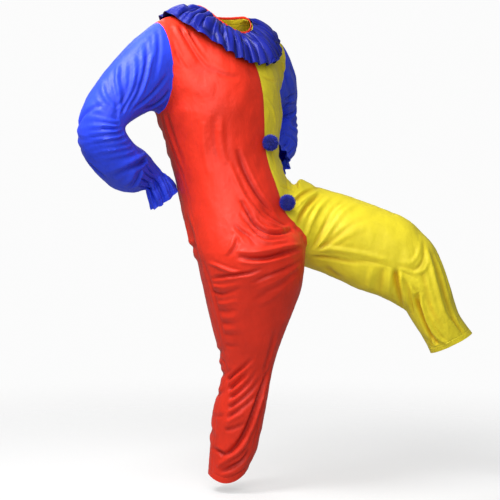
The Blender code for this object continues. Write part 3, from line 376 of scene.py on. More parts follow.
LEFT_FOLDS = [
    # the raised leg's side of the body
    (7, -7, "start", [(270, 196), (256, 190), (242, 188), (228, 190)]),
    (7, 6, "start", [(276, 204), (260, 198), (244, 196), (230, 199)]),
    (8, -8, "start", [(280, 213), (264, 208), (248, 207), (230, 212), (216, 220)]),
    (7, 6, "start", [(280, 224), (264, 219), (248, 220), (234, 226)]),
    (8, -7, "start", [(276, 236), (260, 232), (244, 234), (228, 244)]),
    (8, -6, "ends", [(262, 250), (248, 250), (234, 256), (222, 266)]),
    (9, -4, "ends", [(236, 84), (240, 104), (242, 126), (240, 146)]),
    (8, 4, "ends", [(250, 96), (254, 116), (256, 138)]),
    (7, -6, "start", [(284, 110), (276, 118), (264, 128), (250, 136)]),
    (7, -6, "ends", [(280, 146), (268, 152), (252, 156), (234, 156)]),
    (7, 5, "ends", [(282, 156), (268, 162), (252, 166), (236, 166)]),
    (7, -5, "ends", [(284, 168), (270, 174), (254, 178), (238, 178)]),
    (6, -5, "start", [(254, 54), (250, 66), (242, 80), (232, 92)]),
    # the sleeve there
    (6, -6, "start", [(290, 60), (302, 66), (316, 78), (330, 94)]),
    (6, 5, "start", [(288, 68), (300, 76), (314, 88), (326, 102)]),
    (6, -6, "end", [(290, 80), (302, 88), (316, 100), (330, 112)]),
    (6, -5, "end", [(292, 94), (304, 102), (318, 110), (332, 116)]),
    (6, -6, "end", [(352, 72), (352, 88), (346, 104), (336, 115)]),
    (6, -6, "end", [(366, 90), (362, 102), (352, 112), (338, 118)]),
    (6, -6, "end", [(374, 112), (362, 116), (350, 118), (338, 119)]),
    (6, -6, "end", [(370, 132), (358, 128), (346, 123), (336, 121)]),
    (6, -6, "end", [(356, 148), (346, 140), (336, 132), (328, 124)]),
    (5, -5, "ends", [(336, 160), (328, 150), (320, 140), (314, 130)]),
    (4, -6, "ends", [(312, 138), (304, 144), (296, 148)]),
    (4, -6, "ends", [(316, 146), (308, 154), (300, 159)]),
    (4, -5, "ends", [(318, 156), (311, 163), (305, 168)]),
]
RIGHT_FOLDS = [
    # the standing leg's side of the body
    (8, -6, "start", [(246, 110), (232, 118), (216, 122), (202, 122)]),
    (7, 5, "start", [(248, 120), (234, 128), (218, 133)]),
    (8, -6, "ends", [(252, 136), (236, 146), (220, 150), (206, 150)]),
    (8, 5, "ends", [(246, 152), (232, 158), (216, 160)]),
    (8, -6, "ends", [(238, 164), (226, 170), (214, 172), (204, 170)]),
    (9, -5, "ends", [(272, 216), (284, 232), (292, 252), (296, 274)]),
    (8, 5, "ends", [(262, 222), (274, 240), (282, 262)]),
    (8, -7, "ends", [(250, 236), (262, 246), (278, 250), (294, 246)]),
    (7, 5, "ends", [(250, 246), (264, 256), (280, 260)]),
    (8, -6, "ends", [(248, 262), (262, 270), (278, 272), (292, 268)]),
    (7, -6, "ends", [(258, 346), (270, 352), (284, 352), (298, 346)]),
    (7, 6, "ends", [(258, 356), (270, 362), (284, 362)]),
    (7, -7, "ends", [(258, 368), (270, 374), (284, 374), (298, 368)]),
    (6, -5, "ends", [(256, 388), (268, 394), (282, 394), (296, 388)]),
    (7, -6, "ends", [(254, 410), (264, 422), (276, 432), (292, 438)]),
    (6, 5, "ends", [(256, 424), (266, 436), (280, 444)]),
    (6, -6, "ends", [(262, 60), (272, 76), (282, 94), (288, 112)]),
    (6, 5, "ends", [(256, 70), (266, 88), (276, 106)]),
    (6, -6, "end", [(252, 86), (260, 100), (268, 112), (273, 122)]),
    (6, -6, "end", [(308, 118), (298, 124), (286, 127), (274, 127)]),
    (6, -6, "end", [(312, 140), (300, 140), (286, 136), (274, 131)]),
    (5, -6, "end", [(304, 160), (294, 154), (282, 146), (271, 139)]),
    (5, -5, "end", [(290, 176), (282, 166), (272, 156), (264, 148)]),
]

# Each table with its drawing, and how much wider and deeper its folds are made
Fold = namedtuple("Fold", "drawing width height fade path")
FOLD_TABLES = [
    ("front", 1.0, 1.3, SLEEVE_FOLDS),
    ("front", 1.0, 1.0, RED_FOLDS),
    ("front", 1.0, 1.0, YELLOW_FOLDS),
    ("back", 1.3, 0.75, BACK_FOLDS),
    ("left", 1.3, 0.75, LEFT_FOLDS),
    ("right", 1.3, 0.75, RIGHT_FOLDS),
]
FOLDS = [Fold(drawing, width * wider / 1000, height * deeper / 1000, fade, path)
         for drawing, wider, deeper, table in FOLD_TABLES
         for width, height, fade, path in table]

# How a fold is shaped. Lips are the low swellings beside it.
FOLD_REACH = 3.2                   # widths to each side that a fold acts on
LIP_PLACE, LIP_WIDTH = 1.6, 0.75   # in widths of the fold
LIP_HEIGHT, LIP_LEAN = 0.28, 0.5   # share of the fold's height, and how unlike the two are
LONGEST_STEP = 0.05                # a path that jumps further has left its piece of cloth
SAME_SIDE = 0.15                   # least agreement of the normals of one side of the cloth
RISE_OVER = 0.12                   # share of a fold's length in which its strong end rises
FADE_POWER = 0.6                   # below 1 a fold keeps its strength for longer
GRAZING = 0.55                     # strength left to a fold that turns out of sight
FACING_FROM, FACING_OVER = 0.10, 0.35      # where its strength begins to grow, and over what
SOFTENING = 2                      # how often the folds' heights are averaged
HIGHEST = 0.013                    # no drawn fold rises or sinks further than this
FULL_SHADE = 0.009                 # depth of a trough that gets the full painted shade of the cloth


class CostumeCloth(bpy.types.PropertyGroup):
    """Sizes of the cloth and its folds."""

    thickness: bpy.props.FloatProperty(
        name="Cloth thickness", description="Thickness of the sewn cloth", default=0.0011,
        min=0.0004, max=0.003, unit="LENGTH", precision=4)
    detail: bpy.props.IntProperty(
        name="Detail", description="How often each face of a panel is divided", default=3,
        min=1, max=3)
    folds: bpy.props.FloatProperty(
        name="Fold depth", description="Scale of the height of every drawn fold", default=1.35,
        min=0.0, max=2.0, subtype="FACTOR")
    drape: bpy.props.FloatProperty(
        name="Drape", description="Height of the wide, loose waves of the cloth",
        default=0.0022, min=0.0, max=0.006, unit="LENGTH", precision=4)
    crumple: bpy.props.FloatProperty(
        name="Crumple", description="Height of the small creases of the cloth",
        default=0.0010, min=0.0, max=0.003, unit="LENGTH", precision=4)
    seam: bpy.props.FloatProperty(
        name="Seam groove", description="How far a seam is drawn in", default=0.0009,
        min=0.0, max=0.003, unit="LENGTH", precision=4)
    gather: bpy.props.FloatProperty(
        name="Collar gathers", description="Height of the collar's own small gathers",
        default=0.0108, min=0.0, max=0.012, unit="LENGTH", precision=4)


class CostumeYarn(bpy.types.PropertyGroup):
    """Sizes of the pompoms' yarn."""

    strands: bpy.props.IntProperty(
        name="Strands", description="Yarn ends of one pompom", default=1100, min=100, max=2000)
    radius: bpy.props.FloatProperty(
        name="Strand radius", description="Radius of a yarn end at its tip", default=0.0010,
        min=0.0004, max=0.002, unit="LENGTH", precision=4)


class CostumeColours(bpy.types.PropertyGroup):
    """Colours of the cloth and the yarn."""

    red: bpy.props.FloatVectorProperty(
        name="Red", description="Colour of the right half", subtype="COLOR", size=3,
        default=(0.82, 0.034, 0.012), min=0.0, max=1.0)
    yellow: bpy.props.FloatVectorProperty(
        name="Yellow", description="Colour of the left half", subtype="COLOR", size=3,
        default=(0.92, 0.76, 0.030), min=0.0, max=1.0)
    blue: bpy.props.FloatVectorProperty(
        name="Blue", description="Colour of the sleeves", subtype="COLOR", size=3,
        default=(0.028, 0.070, 0.92), min=0.0, max=1.0)
    # in its gathers the collar gets a painted shade, a darker blue mixed in by the material
    collar: bpy.props.FloatVectorProperty(
        name="Collar blue", description="Colour of the collar, deeper in its gathers",
        subtype="COLOR", size=3, default=(0.007, 0.014, 0.28), min=0.0, max=1.0)
    yarn: bpy.props.FloatVectorProperty(
        name="Yarn", description="Colour of the pompoms", subtype="COLOR", size=3,
        default=(0.012, 0.026, 0.42), min=0.0, max=1.0)


# Shape -----------------------------------------------------------------------------------


def unit(rows):
    """Rows of vectors at length 1."""
    return rows / np.maximum(np.linalg.norm(rows, axis=-1, keepdims=True), 1e-12)


def face_islands(work):
    """Groups of faces that are joined by edges."""
    left, islands = set(work.faces), []
    while left:
        island, open_faces = set(), [left.pop()]
        while open_faces:
            face = open_faces.pop()
            island.add(face)
            for edge in face.edges:
                for other in edge.link_faces:
                    if other in left:
                        left.remove(other)
                        open_faces.append(other)
        islands.append(island)
    return islands


def outer_side(node, upward=False):
    """The outer side of a node's cloth wall, merged, as corner points and faces."""
    work = bmesh.new()
    work.from_mesh(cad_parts[node].data)
    bmesh.ops.remove_doubles(work, verts=work.verts, dist=MERGE)
    rim = [face for face in work.faces
           if min(edge.calc_length() for edge in face.edges) < RIM]
    bmesh.ops.delete(work, geom=rim, context="FACES")
    islands = sorted(face_islands(work), key=len)[-2:]
    if upward:
        outer = max(islands, key=lambda faces: sum(f.normal.z * f.calc_area() for f in faces))
    else:
        outer = max(islands, key=lambda faces: sum(f.calc_area() for f in faces))
    inner = [face for face in work.faces if face not in outer]
    bmesh.ops.delete(work, geom=inner, context="FACES")
    bmesh.ops.join_triangles(work, faces=work.faces, angle_face_threshold=FLAT_ENOUGH,
                             angle_shape_threshold=FLAT_ENOUGH)
    work.verts.index_update()
    points = [tuple(vert.co) for vert in work.verts]
    faces = [tuple(vert.index for vert in face.verts) for face in work.faces]
    work.free()
    return points, faces


def place_mesh(name, mesh):
    """An object at the origin with this mesh."""
    item = bpy.data.objects.new(name, mesh)
    bpy.context.scene.collection.objects.link(item)
    return item


def place_work(name, work):
    """An object at the origin with the faces of a bmesh, which is freed."""
    mesh = bpy.data.meshes.new(name)
    work.to_mesh(mesh)
    work.free()
    return place_mesh(name, mesh)


def new_object(name, points, faces):
    """An object at the origin with these points and faces."""
    mesh = bpy.data.meshes.new(name)
    mesh.from_pydata(points, [], faces)
    mesh.update()
    return place_mesh(name, mesh)


def apply_modifier(item, kind, **values):
    """Add a modifier, set its values and apply it."""
    bpy.ops.object.select_all(action="DESELECT")
    bpy.context.view_layer.objects.active = item
    item.select_set(True)
    modifier = item.modifiers.new(kind, kind)
    for name, value in values.items():
        setattr(modifier, name, value)
    bpy.ops.object.modifier_apply(modifier=modifier.name)


def add_values(item, name, values):
    """Give each point of an object a number that its material reads."""
    attribute = item.data.attributes.new(name, "FLOAT", "POINT")
    attribute.data.foreach_set("value", np.ascontiguousarray(values, dtype=float))


def mesh_arrays(item):
    """Points, quads and face marks of an object whose faces are all quads."""
    mesh = item.data
    points = np.zeros(len(mesh.vertices) * 3)
    mesh.vertices.foreach_get("co", points)
    quads = np.zeros(len(mesh.loops), dtype=int)
    mesh.loops.foreach_get("vertex_index", quads)
    marks = np.zeros(len(mesh.polygons), dtype=int)
    mesh.polygons.foreach_get("material_index", marks)
    return points.reshape(-1, 3), quads.reshape(-1, 4), marks


def point_normals(points, quads):
    """Outward normals of the points of a quad mesh."""
    diagonal = points[quads[:, 2]] - points[quads[:, 0]]
    other = points[quads[:, 3]] - points[quads[:, 1]]
    face = np.cross(diagonal, other)
    normals = np.zeros_like(points)
    for corner in range(4):
        np.add.at(normals, quads[:, corner], face)
    return unit(normals)


def body_skin(detail):
    """One fine skin of all panels and sleeves, each face marked with its piece."""
    work = bmesh.new()
    for index, piece in enumerate(BODY_PIECES):
        points, faces = outer_side(piece.node)
        verts = [work.verts.new(point) for point in points]
        for face in faces:
            work.faces.new([verts[corner] for corner in face]).material_index = index
    bmesh.ops.remove_doubles(work, verts=work.verts, dist=SEAM_REACH)
    bmesh.ops.recalc_face_normals(work, faces=work.faces)
    item = place_work("skin", work)
    apply_modifier(item, "SUBSURF", levels=detail, render_levels=detail)
    arrays = mesh_arrays(item)
    bpy.data.objects.remove(item)
    return arrays


def direction(azimuth, elevation):
    """Unit vector from the middle of the costume towards an azimuth and elevation."""
    azimuth, elevation = math.radians(azimuth), math.radians(elevation)
    return Vector((math.sin(azimuth) * math.cos(elevation),
                   -math.cos(azimuth) * math.cos(elevation), math.sin(elevation)))


def drawing_ray(drawing, across, down):
    """Eye and direction of the line of sight through a point of a drawing."""
    back = direction(*DRAWINGS[drawing])
    azimuth = math.radians(DRAWINGS[drawing][0])
    right = Vector((math.cos(azimuth), math.sin(azimuth), 0.0))
    up = back.cross(right)
    eye = DRAWING_MIDDLE + back * DRAWING_DISTANCE
    middle = DRAWING_WIDTH / 2
    aim = DRAWING_MIDDLE + (right * (across - middle) + up * (middle - down)) * DRAWING_UNIT
    return eye, (aim - eye).normalized()


def smooth_path(path, steps=8):
    """Points on a smooth curve through the points of a path."""
    rows = np.array(path, dtype=float)
    rows = np.vstack([2 * rows[0] - rows[1], rows, 2 * rows[-1] - rows[-2]])
    curve = []
    for index in range(1, len(rows) - 2):
        before, first, last, after = rows[index - 1:index + 3]
        for step in range(steps):
            part = step / steps
            curve.append(0.5 * (2 * first + (last - before) * part
                                + (2 * before - 5 * first + 4 * last - after) * part ** 2
                                + (3 * (first - last) + after - before) * part ** 3))
    curve.append(rows[-2])
    return np.array(curve)


def drawn_line(fold, tree):
    """A fold's path on the cloth: points, normals, place along it, and how it faces the eye."""
    points, normals, places, facing = [], [], [], []
    curve = smooth_path(fold.path)
    for index, (across, down) in enumerate(curve):
        eye, sight = drawing_ray(fold.drawing, across, down)
        hit, normal, _, _ = tree.ray_cast(eye, sight)
        if hit is None:
            continue
        if points and (hit - Vector(points[-1])).length > LONGEST_STEP:
            continue
        points.append(tuple(hit))
        normals.append(tuple(normal))
        places.append(index / (len(curve) - 1))
        facing.append(-normal.dot(sight))
    return np.array(points), np.array(normals), np.array(places), np.array(facing)


def fade_of(fold, places):
    """Strength of a fold at each place along it, from 0 at its start to 1 at its end."""
    if fold.fade == "ends":
        return np.sin(np.pi * places) ** FADE_POWER
    if fold.fade == "end":
        places = 1 - places
    return np.minimum(places / RISE_OVER, 1) ** 0.5 * (1 - places) ** FADE_POWER


def soften(values, quads, rounds):
    """Values of the points, averaged with their neighbours."""
    pairs, _ = edge_uses(quads)
    count = np.bincount(pairs.ravel(), minlength=len(values))
    for _ in range(rounds):
        total = (np.bincount(pairs[:, 0], values[pairs[:, 1]], len(values))
                 + np.bincount(pairs[:, 1], values[pairs[:, 0]], len(values)))
        values = (values + total / np.maximum(count, 1)) / 2
    return values


def drawn_folds(points, normals, quads, scale):
    """Heights of all drawn folds at each point."""
    tree = BVHTree.FromPolygons(points.tolist(), quads.tolist())
    heights = np.zeros(len(points))
    for fold in FOLDS:
        line, outward, places, facing = drawn_line(fold, tree)
        if len(line) < 3:
            continue
        reach = fold.width * FOLD_REACH
        low, high = line.min(axis=0) - reach, line.max(axis=0) + reach
        near = np.nonzero(np.all((points > low) & (points < high), axis=1))[0]
        if not len(near):
            continue
        gaps = np.linalg.norm(points[near, None, :] - line[None, :, :], axis=2)
        closest = gaps.argmin(axis=1)
        gap = gaps.min(axis=1)
        agree = np.sum(normals[near] * outward[closest], axis=1)
        keep = (gap < reach) & (agree > SAME_SIDE)
        near, closest = near[keep], closest[keep]
        along = unit(np.gradient(line, axis=0))
        beside = np.cross(outward, along)
        offset = points[near] - line[closest]
        run_out = np.sum(offset * along[closest], axis=1)
        away = offset - along[closest] * run_out[:, None]
        side = np.sum(away * beside[closest], axis=1) / fold.width
        lips = np.exp(-((np.abs(side) - LIP_PLACE) / LIP_WIDTH) ** 2)
        profile = np.exp(-side ** 2) - LIP_HEIGHT * lips * (1 + LIP_LEAN * np.sign(side))
        seen = GRAZING + (1 - GRAZING) * np.clip((facing - FACING_FROM) / FACING_OVER, 0, 1)
        strength = (fade_of(fold, places) * seen)[closest]
        strength *= np.exp(-(run_out / fold.width) ** 2)
        heights[near] += fold.height * profile * strength
    return HIGHEST * np.tanh(soften(heights * scale, quads, SOFTENING) / HIGHEST)


def cloth_waves(points, drape, crumple):
    """Heights of the wide waves and the small creases at each point."""
    heights = np.zeros(len(points))
    for index, (x, y, z) in enumerate(points.tolist()):
        wide = noise.noise(Vector((x * WIDE, y * WIDE, z * WIDE_DOWN)))
        small = noise.noise(Vector((x * SMALL + 3, y * SMALL, z * SMALL_DOWN)))
        fine = noise.noise(Vector((x * FINE, y * FINE + 7, z * FINE_DOWN)))
        heights[index] = (wide * drape + small * crumple * SMALL_SHARE
                          + (abs(fine) - FINE_LEVEL) * crumple)
    return heights


def collar_gathers(points):
    """Heights of the collar's gathers, and how far out from the neck each point lies.

    The gathers grow from the neck outwards and die down at the stitched edge.
    """
    neck = np.linalg.norm(points[:, :2] * COLLAR_OVAL, axis=1)
    out = np.clip((neck - COLLAR_INNER) / COLLAR_OUT, 0, 1)
    turn = np.arctan2(points[:, 0], -points[:, 1])
    heights = np.zeros(len(points))
    for index, (angle, part) in enumerate(zip(turn.tolist(), out.tolist())):
        crease = noise.noise(Vector((angle * GATHERS, part * GATHER_TURN, 0.4)))
        pleat = noise.noise(Vector((angle * PLEATS, part * PLEAT_TURN, 5.0)))
        fade = (COLLAR_START + part) * (1 - COLLAR_END * part ** 4)
        ridge = min(abs(crease) / COLLAR_VALLEY, 1.0) ** COLLAR_ROUND
        heights[index] = (ridge + pleat * PLEAT_SHARE) * fade
    return heights, out


def merged_copy(node, name):
    """A copy of a node's solid with its loose triangles merged."""
    work = bmesh.new()
    work.from_mesh(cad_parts[node].data)
    bmesh.ops.remove_doubles(work, verts=work.verts, dist=MERGE)
    return place_work(name, work)


def lift_hem(points, rim):
    """Points with the standing leg's hem raised on both sides of its lowest place."""
    hem = points[rim & (points[:, 2] < points[:, 2].min() + HEM_LEVEL)]
    away = distance_to(points, hem, HEM_FROM)
    across = (points[:, :2] - HEM_MIDDLE) @ np.array(HEM_ACROSS) / HEM_REACH
    lift = HEM_LIFT * (across - HEM_LOWEST) ** 2 * (1 - away / HEM_FROM) ** 1.5
    moved = points.copy()
    moved[:, 2] += lift
    return moved


def split_pieces(quads, marks, count):
    """For each piece of a marked skin the points that it uses, and its quads on them."""
    parts = []
    for index in range(count):
        own = quads[marks == index]
        used, inverse = np.unique(own, return_inverse=True)
        parts.append((used, inverse.reshape(-1, 4)))
    return parts


def edge_uses(quads):
    """Edges of a quad mesh as sorted pairs, and the faces beside each."""
    pairs = np.concatenate([quads[:, [corner, (corner + 1) % 4]] for corner in range(4)])
    owners = np.tile(np.arange(len(quads)), 4)
    pairs = np.sort(pairs, axis=1)
    return pairs, owners


def seam_and_rim_points(quads, marks, count):
    """Which points lie on a seam between two pieces, and which on an open edge."""
    pairs, owners = edge_uses(quads)
    order = np.lexsort((pairs[:, 1], pairs[:, 0]))
    pairs, owners = pairs[order], owners[order]
    same = np.all(pairs[1:] == pairs[:-1], axis=1)
    seam = np.zeros(count, dtype=bool)
    crossing = same & (marks[owners[1:]] != marks[owners[:-1]])
    seam[pairs[1:][crossing].ravel()] = True
    single = np.ones(len(pairs), dtype=bool)
    single[1:][same] = False
    single[:-1][same] = False
    rim = np.zeros(count, dtype=bool)
    rim[pairs[single].ravel()] = True
    return seam, rim


def distance_to(points, targets, limit):
    """Distance of each point to the nearest target, up to a limit."""
    tree = KDTree(len(targets))
    for index, target in enumerate(targets):
        tree.insert(target, index)
    tree.balance()
    return np.array([min(tree.find(point)[2], limit) for point in points])


def body_tree():
    """Search tree over the front panels' solids."""
    points, faces = [], []
    for node in ("front_right", "front_left"):
        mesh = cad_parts[node].data
        faces += [tuple(corner + len(points) for corner in face.vertices)
                  for face in mesh.polygons]
        points += [tuple(vert.co) for vert in mesh.vertices]
    return BVHTree.FromPolygons(points, faces)


def pompom(name, centre, outward, yarn):
    """A ball of short yarn ends round a dense core, flattened where it meets the cloth."""
    work = bmesh.new()
    bmesh.ops.create_icosphere(work, subdivisions=3, radius=POMPOM_CORE)
    golden = math.pi * (3 - math.sqrt(5))
    for index in range(yarn.strands):
        height = 1 - 2 * (index + 0.5) / yarn.strands
        ring = math.sqrt(1 - height * height)
        way = Vector((ring * math.cos(golden * index), ring * math.sin(golden * index), height))
        facing = way.dot(outward)
        uneven = 1
        for share, turn in STRAND_LENGTHS:
            uneven += share * math.sin(index * turn)
        reach = POMPOM_REACH * uneven
        if facing < -POMPOM_FLAT:
            reach = min(reach, (POMPOM_SEAT - POMPOM_BACK) / -facing)
        side = way.orthogonal().normalized()
        bend = Matrix.Rotation(index * STRAND_TURN, 3, way) @ side * STRAND_BEND
        other = way.cross(side)
        rings = []
        for place, thick in STRAND_SHAPE:
            middle = way * reach * place + bend * place ** 2
            corners = []
            for corner in range(4):
                angle = math.pi / 2 * corner + index
                away = (side * math.cos(angle) + other * math.sin(angle)) * yarn.radius * thick
                corners.append(work.verts.new(middle + away))
            rings.append(corners)
        for first, last in zip(rings[:-1], rings[1:]):
            for corner in range(4):
                after = (corner + 1) % 4
                work.faces.new((first[corner], first[after], last[after], last[corner]))
        work.faces.new(rings[-1])
        work.faces.new(tuple(reversed(rings[0])))
    bmesh.ops.recalc_face_normals(work, faces=work.faces)
    bmesh.ops.translate(work, verts=work.verts, vec=centre)
    return place_work(name, work)


def finish_piece(item, node, material):
    """Shade, ride and node, and give a piece its material."""
    item.data.shade_smooth()
    item.data.set_sharp_from_angle(angle=EDGE_ANGLE)
    item.data.materials.clear()
    item.data.materials.append(material)
    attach(item, "root")
    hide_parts(node)


# Materials -------------------------------------------------------------------------------

# Painted shade: darker colours that the material mixes into the troughs of the folds and the
# valleys of the collar's gathers
PAINTED_TROUGH_SHADES = {"red": (0.30, 0.006, 0.005), "yellow": (0.60, 0.30, 0.001),
              "blue": (0.007, 0.014, 0.26), "collar": (0.003, 0.005, 0.075)}
DARKEST, LIGHTEST = 0.86, 1.10             # soft changes of tone, as shares of the colour
YARN_DARKEST, YARN_LIGHTEST = 0.55, 1.5
FLOOR_FROM, FLOOR_TO = 0.5, 2.6            # where the floor begins to run out, and ends
FLOOR_GLOW = 0.55                          # the floor's own white, as the camera sees it


def shade_of(colour, share):
    """A colour made darker or lighter, with alpha."""
    return tuple(min(value * share, 1) for value in colour) + (1.0,)


def set_inputs(node, values):
    """Give the named inputs of a node their values."""
    for name, value in values.items():
        node.inputs[name].default_value = value


def add_node(nodes, kind, values=None, **settings):
    """A new node with these settings and these values of its inputs."""
    node = nodes.new("ShaderNode" + kind)
    for name, value in settings.items():
        setattr(node, name, value)
    set_inputs(node, values or {})
    return node


def start_group(name, inputs, outputs):
    """A node group with these named sockets, its nodes and links, and its two ends."""
    group = bpy.data.node_groups.new(name, "ShaderNodeTree")
    for way, sockets in (("INPUT", inputs), ("OUTPUT", outputs)):
        for socket, kind in sockets.items():
            group.interface.new_socket(socket, in_out=way, socket_type="NodeSocket" + kind)
    nodes, links = group.nodes, group.links
    return nodes, links, nodes.new("NodeGroupInput"), nodes.new("NodeGroupOutput")


def place_group(nodes, name, build, values):
    """A node that holds a node group, which is built when it is first asked for."""
    if name not in bpy.data.node_groups:
        build()
    return add_node(nodes, "Group", values, node_tree=bpy.data.node_groups[name])


def start_material(name, values):
    """A new material, its nodes and links, and its shader with these values."""
    material = bpy.data.materials.new(name)
    material.use_nodes = True
    nodes, links = material.node_tree.nodes, material.node_tree.links
    shader = nodes["Principled BSDF"]
    set_inputs(shader, values)
    return material, nodes, links, shader


def add_bumps(nodes, links, shader, layers):
    """Bumps laid one on another, each from a height, a strength and a distance."""
    normal = None
    for height, strength, distance in layers:
        bump = add_node(nodes, "Bump", {"Strength": strength, "Distance": distance})
        links.new(height, bump.inputs["Height"])
        if normal:
            links.new(normal, bump.inputs["Normal"])
        normal = bump.outputs["Normal"]
    links.new(normal, shader.inputs["Normal"])


def knit_group():
    """Fine knit: a bump height and a tone, both from the place on the cloth."""
    nodes, links, inlet, outlet = start_group(
        "fine_knit", {"Stitches per metre": "Float"}, {"Height": "Float", "Tone": "Float"})
    place = add_node(nodes, "TexCoord")
    cells = add_node(nodes, "TexVoronoi", {"Randomness": 0.35}, feature="F1")
    links.new(place.outputs["Object"], cells.inputs["Vector"])
    links.new(inlet.outputs["Stitches per metre"], cells.inputs["Scale"])
    broad = add_node(nodes, "TexNoise", {"Scale": 9.0, "Detail": 5.0, "Roughness": 0.6})
    links.new(place.outputs["Object"], broad.inputs["Vector"])
    links.new(cells.outputs["Distance"], outlet.inputs["Height"])
    links.new(broad.outputs["Fac"], outlet.inputs["Tone"])


def hem_group():
    """Height of a hem's stitched line, from each point's distance to the open edge."""
    nodes, links, inlet, outlet = start_group(
        "hem_stitching", {"Depth": "Float", "Width": "Float"}, {"Height": "Float"})
    distance = add_node(nodes, "Attribute", attribute_name="from_hem")
    offset = add_node(nodes, "Math", operation="SUBTRACT")
    links.new(distance.outputs["Fac"], offset.inputs[0])
    links.new(inlet.outputs["Depth"], offset.inputs[1])
    away = add_node(nodes, "Math", operation="ABSOLUTE")
    links.new(offset.outputs[0], away.inputs[0])
    share = add_node(nodes, "Math", operation="DIVIDE", use_clamp=True)
    links.new(away.outputs[0], share.inputs[0])
    links.new(inlet.outputs["Width"], share.inputs[1])
    links.new(share.outputs[0], outlet.inputs["Height"])


def tone_and_shade_group():
    """Colour of the cloth: soft changes over the piece, and painted shade in the troughs."""
    nodes, links, inlet, outlet = start_group(
        "cloth_tone", {"Dark": "Color", "Light": "Color", "Deep": "Color", "Tone": "Float",
                       "Depth": "Float"}, {"Color": "Color"})
    spread = add_node(nodes, "MapRange", {"From Min": 0.30, "From Max": 0.70})
    links.new(inlet.outputs["Tone"], spread.inputs["Value"])
    plain = add_node(nodes, "Mix", data_type="RGBA")
    links.new(spread.outputs["Result"], plain.inputs["Factor"])
    links.new(inlet.outputs["Dark"], plain.inputs[6])
    links.new(inlet.outputs["Light"], plain.inputs[7])
    # painted shade: a darker colour is mixed in by each point's share of shade in the troughs
    trough = add_node(nodes, "Attribute", attribute_name="in_fold")
    share = add_node(nodes, "Math", operation="MULTIPLY", use_clamp=True)
    links.new(trough.outputs["Fac"], share.inputs[0])
    links.new(inlet.outputs["Depth"], share.inputs[1])
    shaded = add_node(nodes, "Mix", data_type="RGBA")
    links.new(share.outputs[0], shaded.inputs["Factor"])
    links.new(plain.outputs[2], shaded.inputs[6])
    links.new(inlet.outputs["Deep"], shaded.inputs[7])
    links.new(shaded.outputs[2], outlet.inputs["Color"])


def cloth_material(name, colour, trough_shade_colour):
    """Thin satin-like knit: sheen, fine stitches, soft changes of tone, painted shade in the
    troughs and small creases.
    """
    material, nodes, links, shader = start_material(name, {
        "Roughness": 0.46, "Sheen Weight": 0.03, "Sheen Roughness": 0.40,
        "Specular IOR Level": 0.28})
    knit = place_group(nodes, "fine_knit", knit_group, {"Stitches per metre": 900.0})
    # the tone group mixes a painted shade into the troughs, up to 0.75 of the way
    tone = place_group(nodes, "cloth_tone", tone_and_shade_group, {
        "Dark": shade_of(colour, DARKEST), "Light": shade_of(colour, LIGHTEST),
        "Deep": trough_shade_colour + (1.0,), "Depth": 0.75})
    links.new(knit.outputs["Tone"], tone.inputs["Tone"])
    links.new(tone.outputs["Color"], shader.inputs["Base Color"])
    place = add_node(nodes, "TexCoord")
    fall = add_node(nodes, "Mapping", {"Scale": (1.0, 1.0, 0.55)})
    links.new(place.outputs["Object"], fall.inputs["Vector"])
    creases = add_node(nodes, "TexNoise", {
        "Scale": 26.0, "Detail": 4.0, "Roughness": 0.55, "Distortion": 0.6})
    links.new(fall.outputs["Vector"], creases.inputs["Vector"])
    sewn = place_group(nodes, "hem_stitching", hem_group, {"Depth": HEM_DEPTH, "Width": STITCH})
    add_bumps(nodes, links, shader, [(creases.outputs["Fac"], 0.60, 0.004),
                                     (knit.outputs["Height"], 0.25, 0.0004),
                                     (sewn.outputs["Height"], 0.70, 0.0012)])
    return material


def yarn_material(colour):
    """Matt wool yarn with uneven tone from strand to strand."""
    material, nodes, links, shader = start_material(
        "pompom_yarn", {"Roughness": 0.85, "Sheen Weight": 0.15})
    place = add_node(nodes, "TexCoord")
    tone = add_node(nodes, "TexNoise", {"Scale": 260.0, "Detail": 3.0})
    links.new(place.outputs["Object"], tone.inputs["Vector"])
    ramp = add_node(nodes, "ValToRGB")
    ramp.color_ramp.elements[0].position = 0.3
    ramp.color_ramp.elements[1].position = 0.7
    ramp.color_ramp.elements[0].color = shade_of(colour, YARN_DARKEST)
    ramp.color_ramp.elements[1].color = shade_of(colour, YARN_LIGHTEST)
    links.new(tone.outputs["Fac"], ramp.inputs["Fac"])
    links.new(ramp.outputs["Color"], shader.inputs["Base Color"])
    add_bumps(nodes, links, shader, [(tone.outputs["Fac"], 0.4, 0.0006)])
    return material


def floor_material():
    """Pale, matt floor that runs out into the white of the studio."""
    material, nodes, links, shader = start_material("pale_floor", {
        "Base Color": (0.42, 0.42, 0.42, 1.0), "Roughness": 0.9, "Specular IOR Level": 0.1,
        "Emission Color": (1.0, 1.0, 1.0, 1.0)})
    sight = add_node(nodes, "LightPath")
    glow = add_node(nodes, "Math", {1: FLOOR_GLOW}, operation="MULTIPLY")
    links.new(sight.outputs["Is Camera Ray"], glow.inputs[0])
    links.new(glow.outputs[0], shader.inputs["Emission Strength"])
    place = add_node(nodes, "TexCoord")
    length = add_node(nodes, "VectorMath", operation="LENGTH")
    links.new(place.outputs["Object"], length.inputs[0])
    fade = add_node(nodes, "MapRange", {
        "From Min": FLOOR_FROM, "From Max": FLOOR_TO, "To Min": 1.0, "To Max": 0.0},
        interpolation_type="SMOOTHSTEP")
    links.new(length.outputs["Value"], fade.inputs["Value"])
    links.new(fade.outputs["Result"], shader.inputs["Alpha"])
    return material


def material_for(colour_name):
    """The cloth material of a colour, made once."""
    name = f"{colour_name}_satin_knit"
    made = bpy.data.materials.get(name)
    colours = bpy.context.scene.costume_colours
    return made or cloth_material(name, tuple(getattr(colours, colour_name)),
                                  PAINTED_TROUGH_SHADES[colour_name])


# Stage -----------------------------------------------------------------------------------

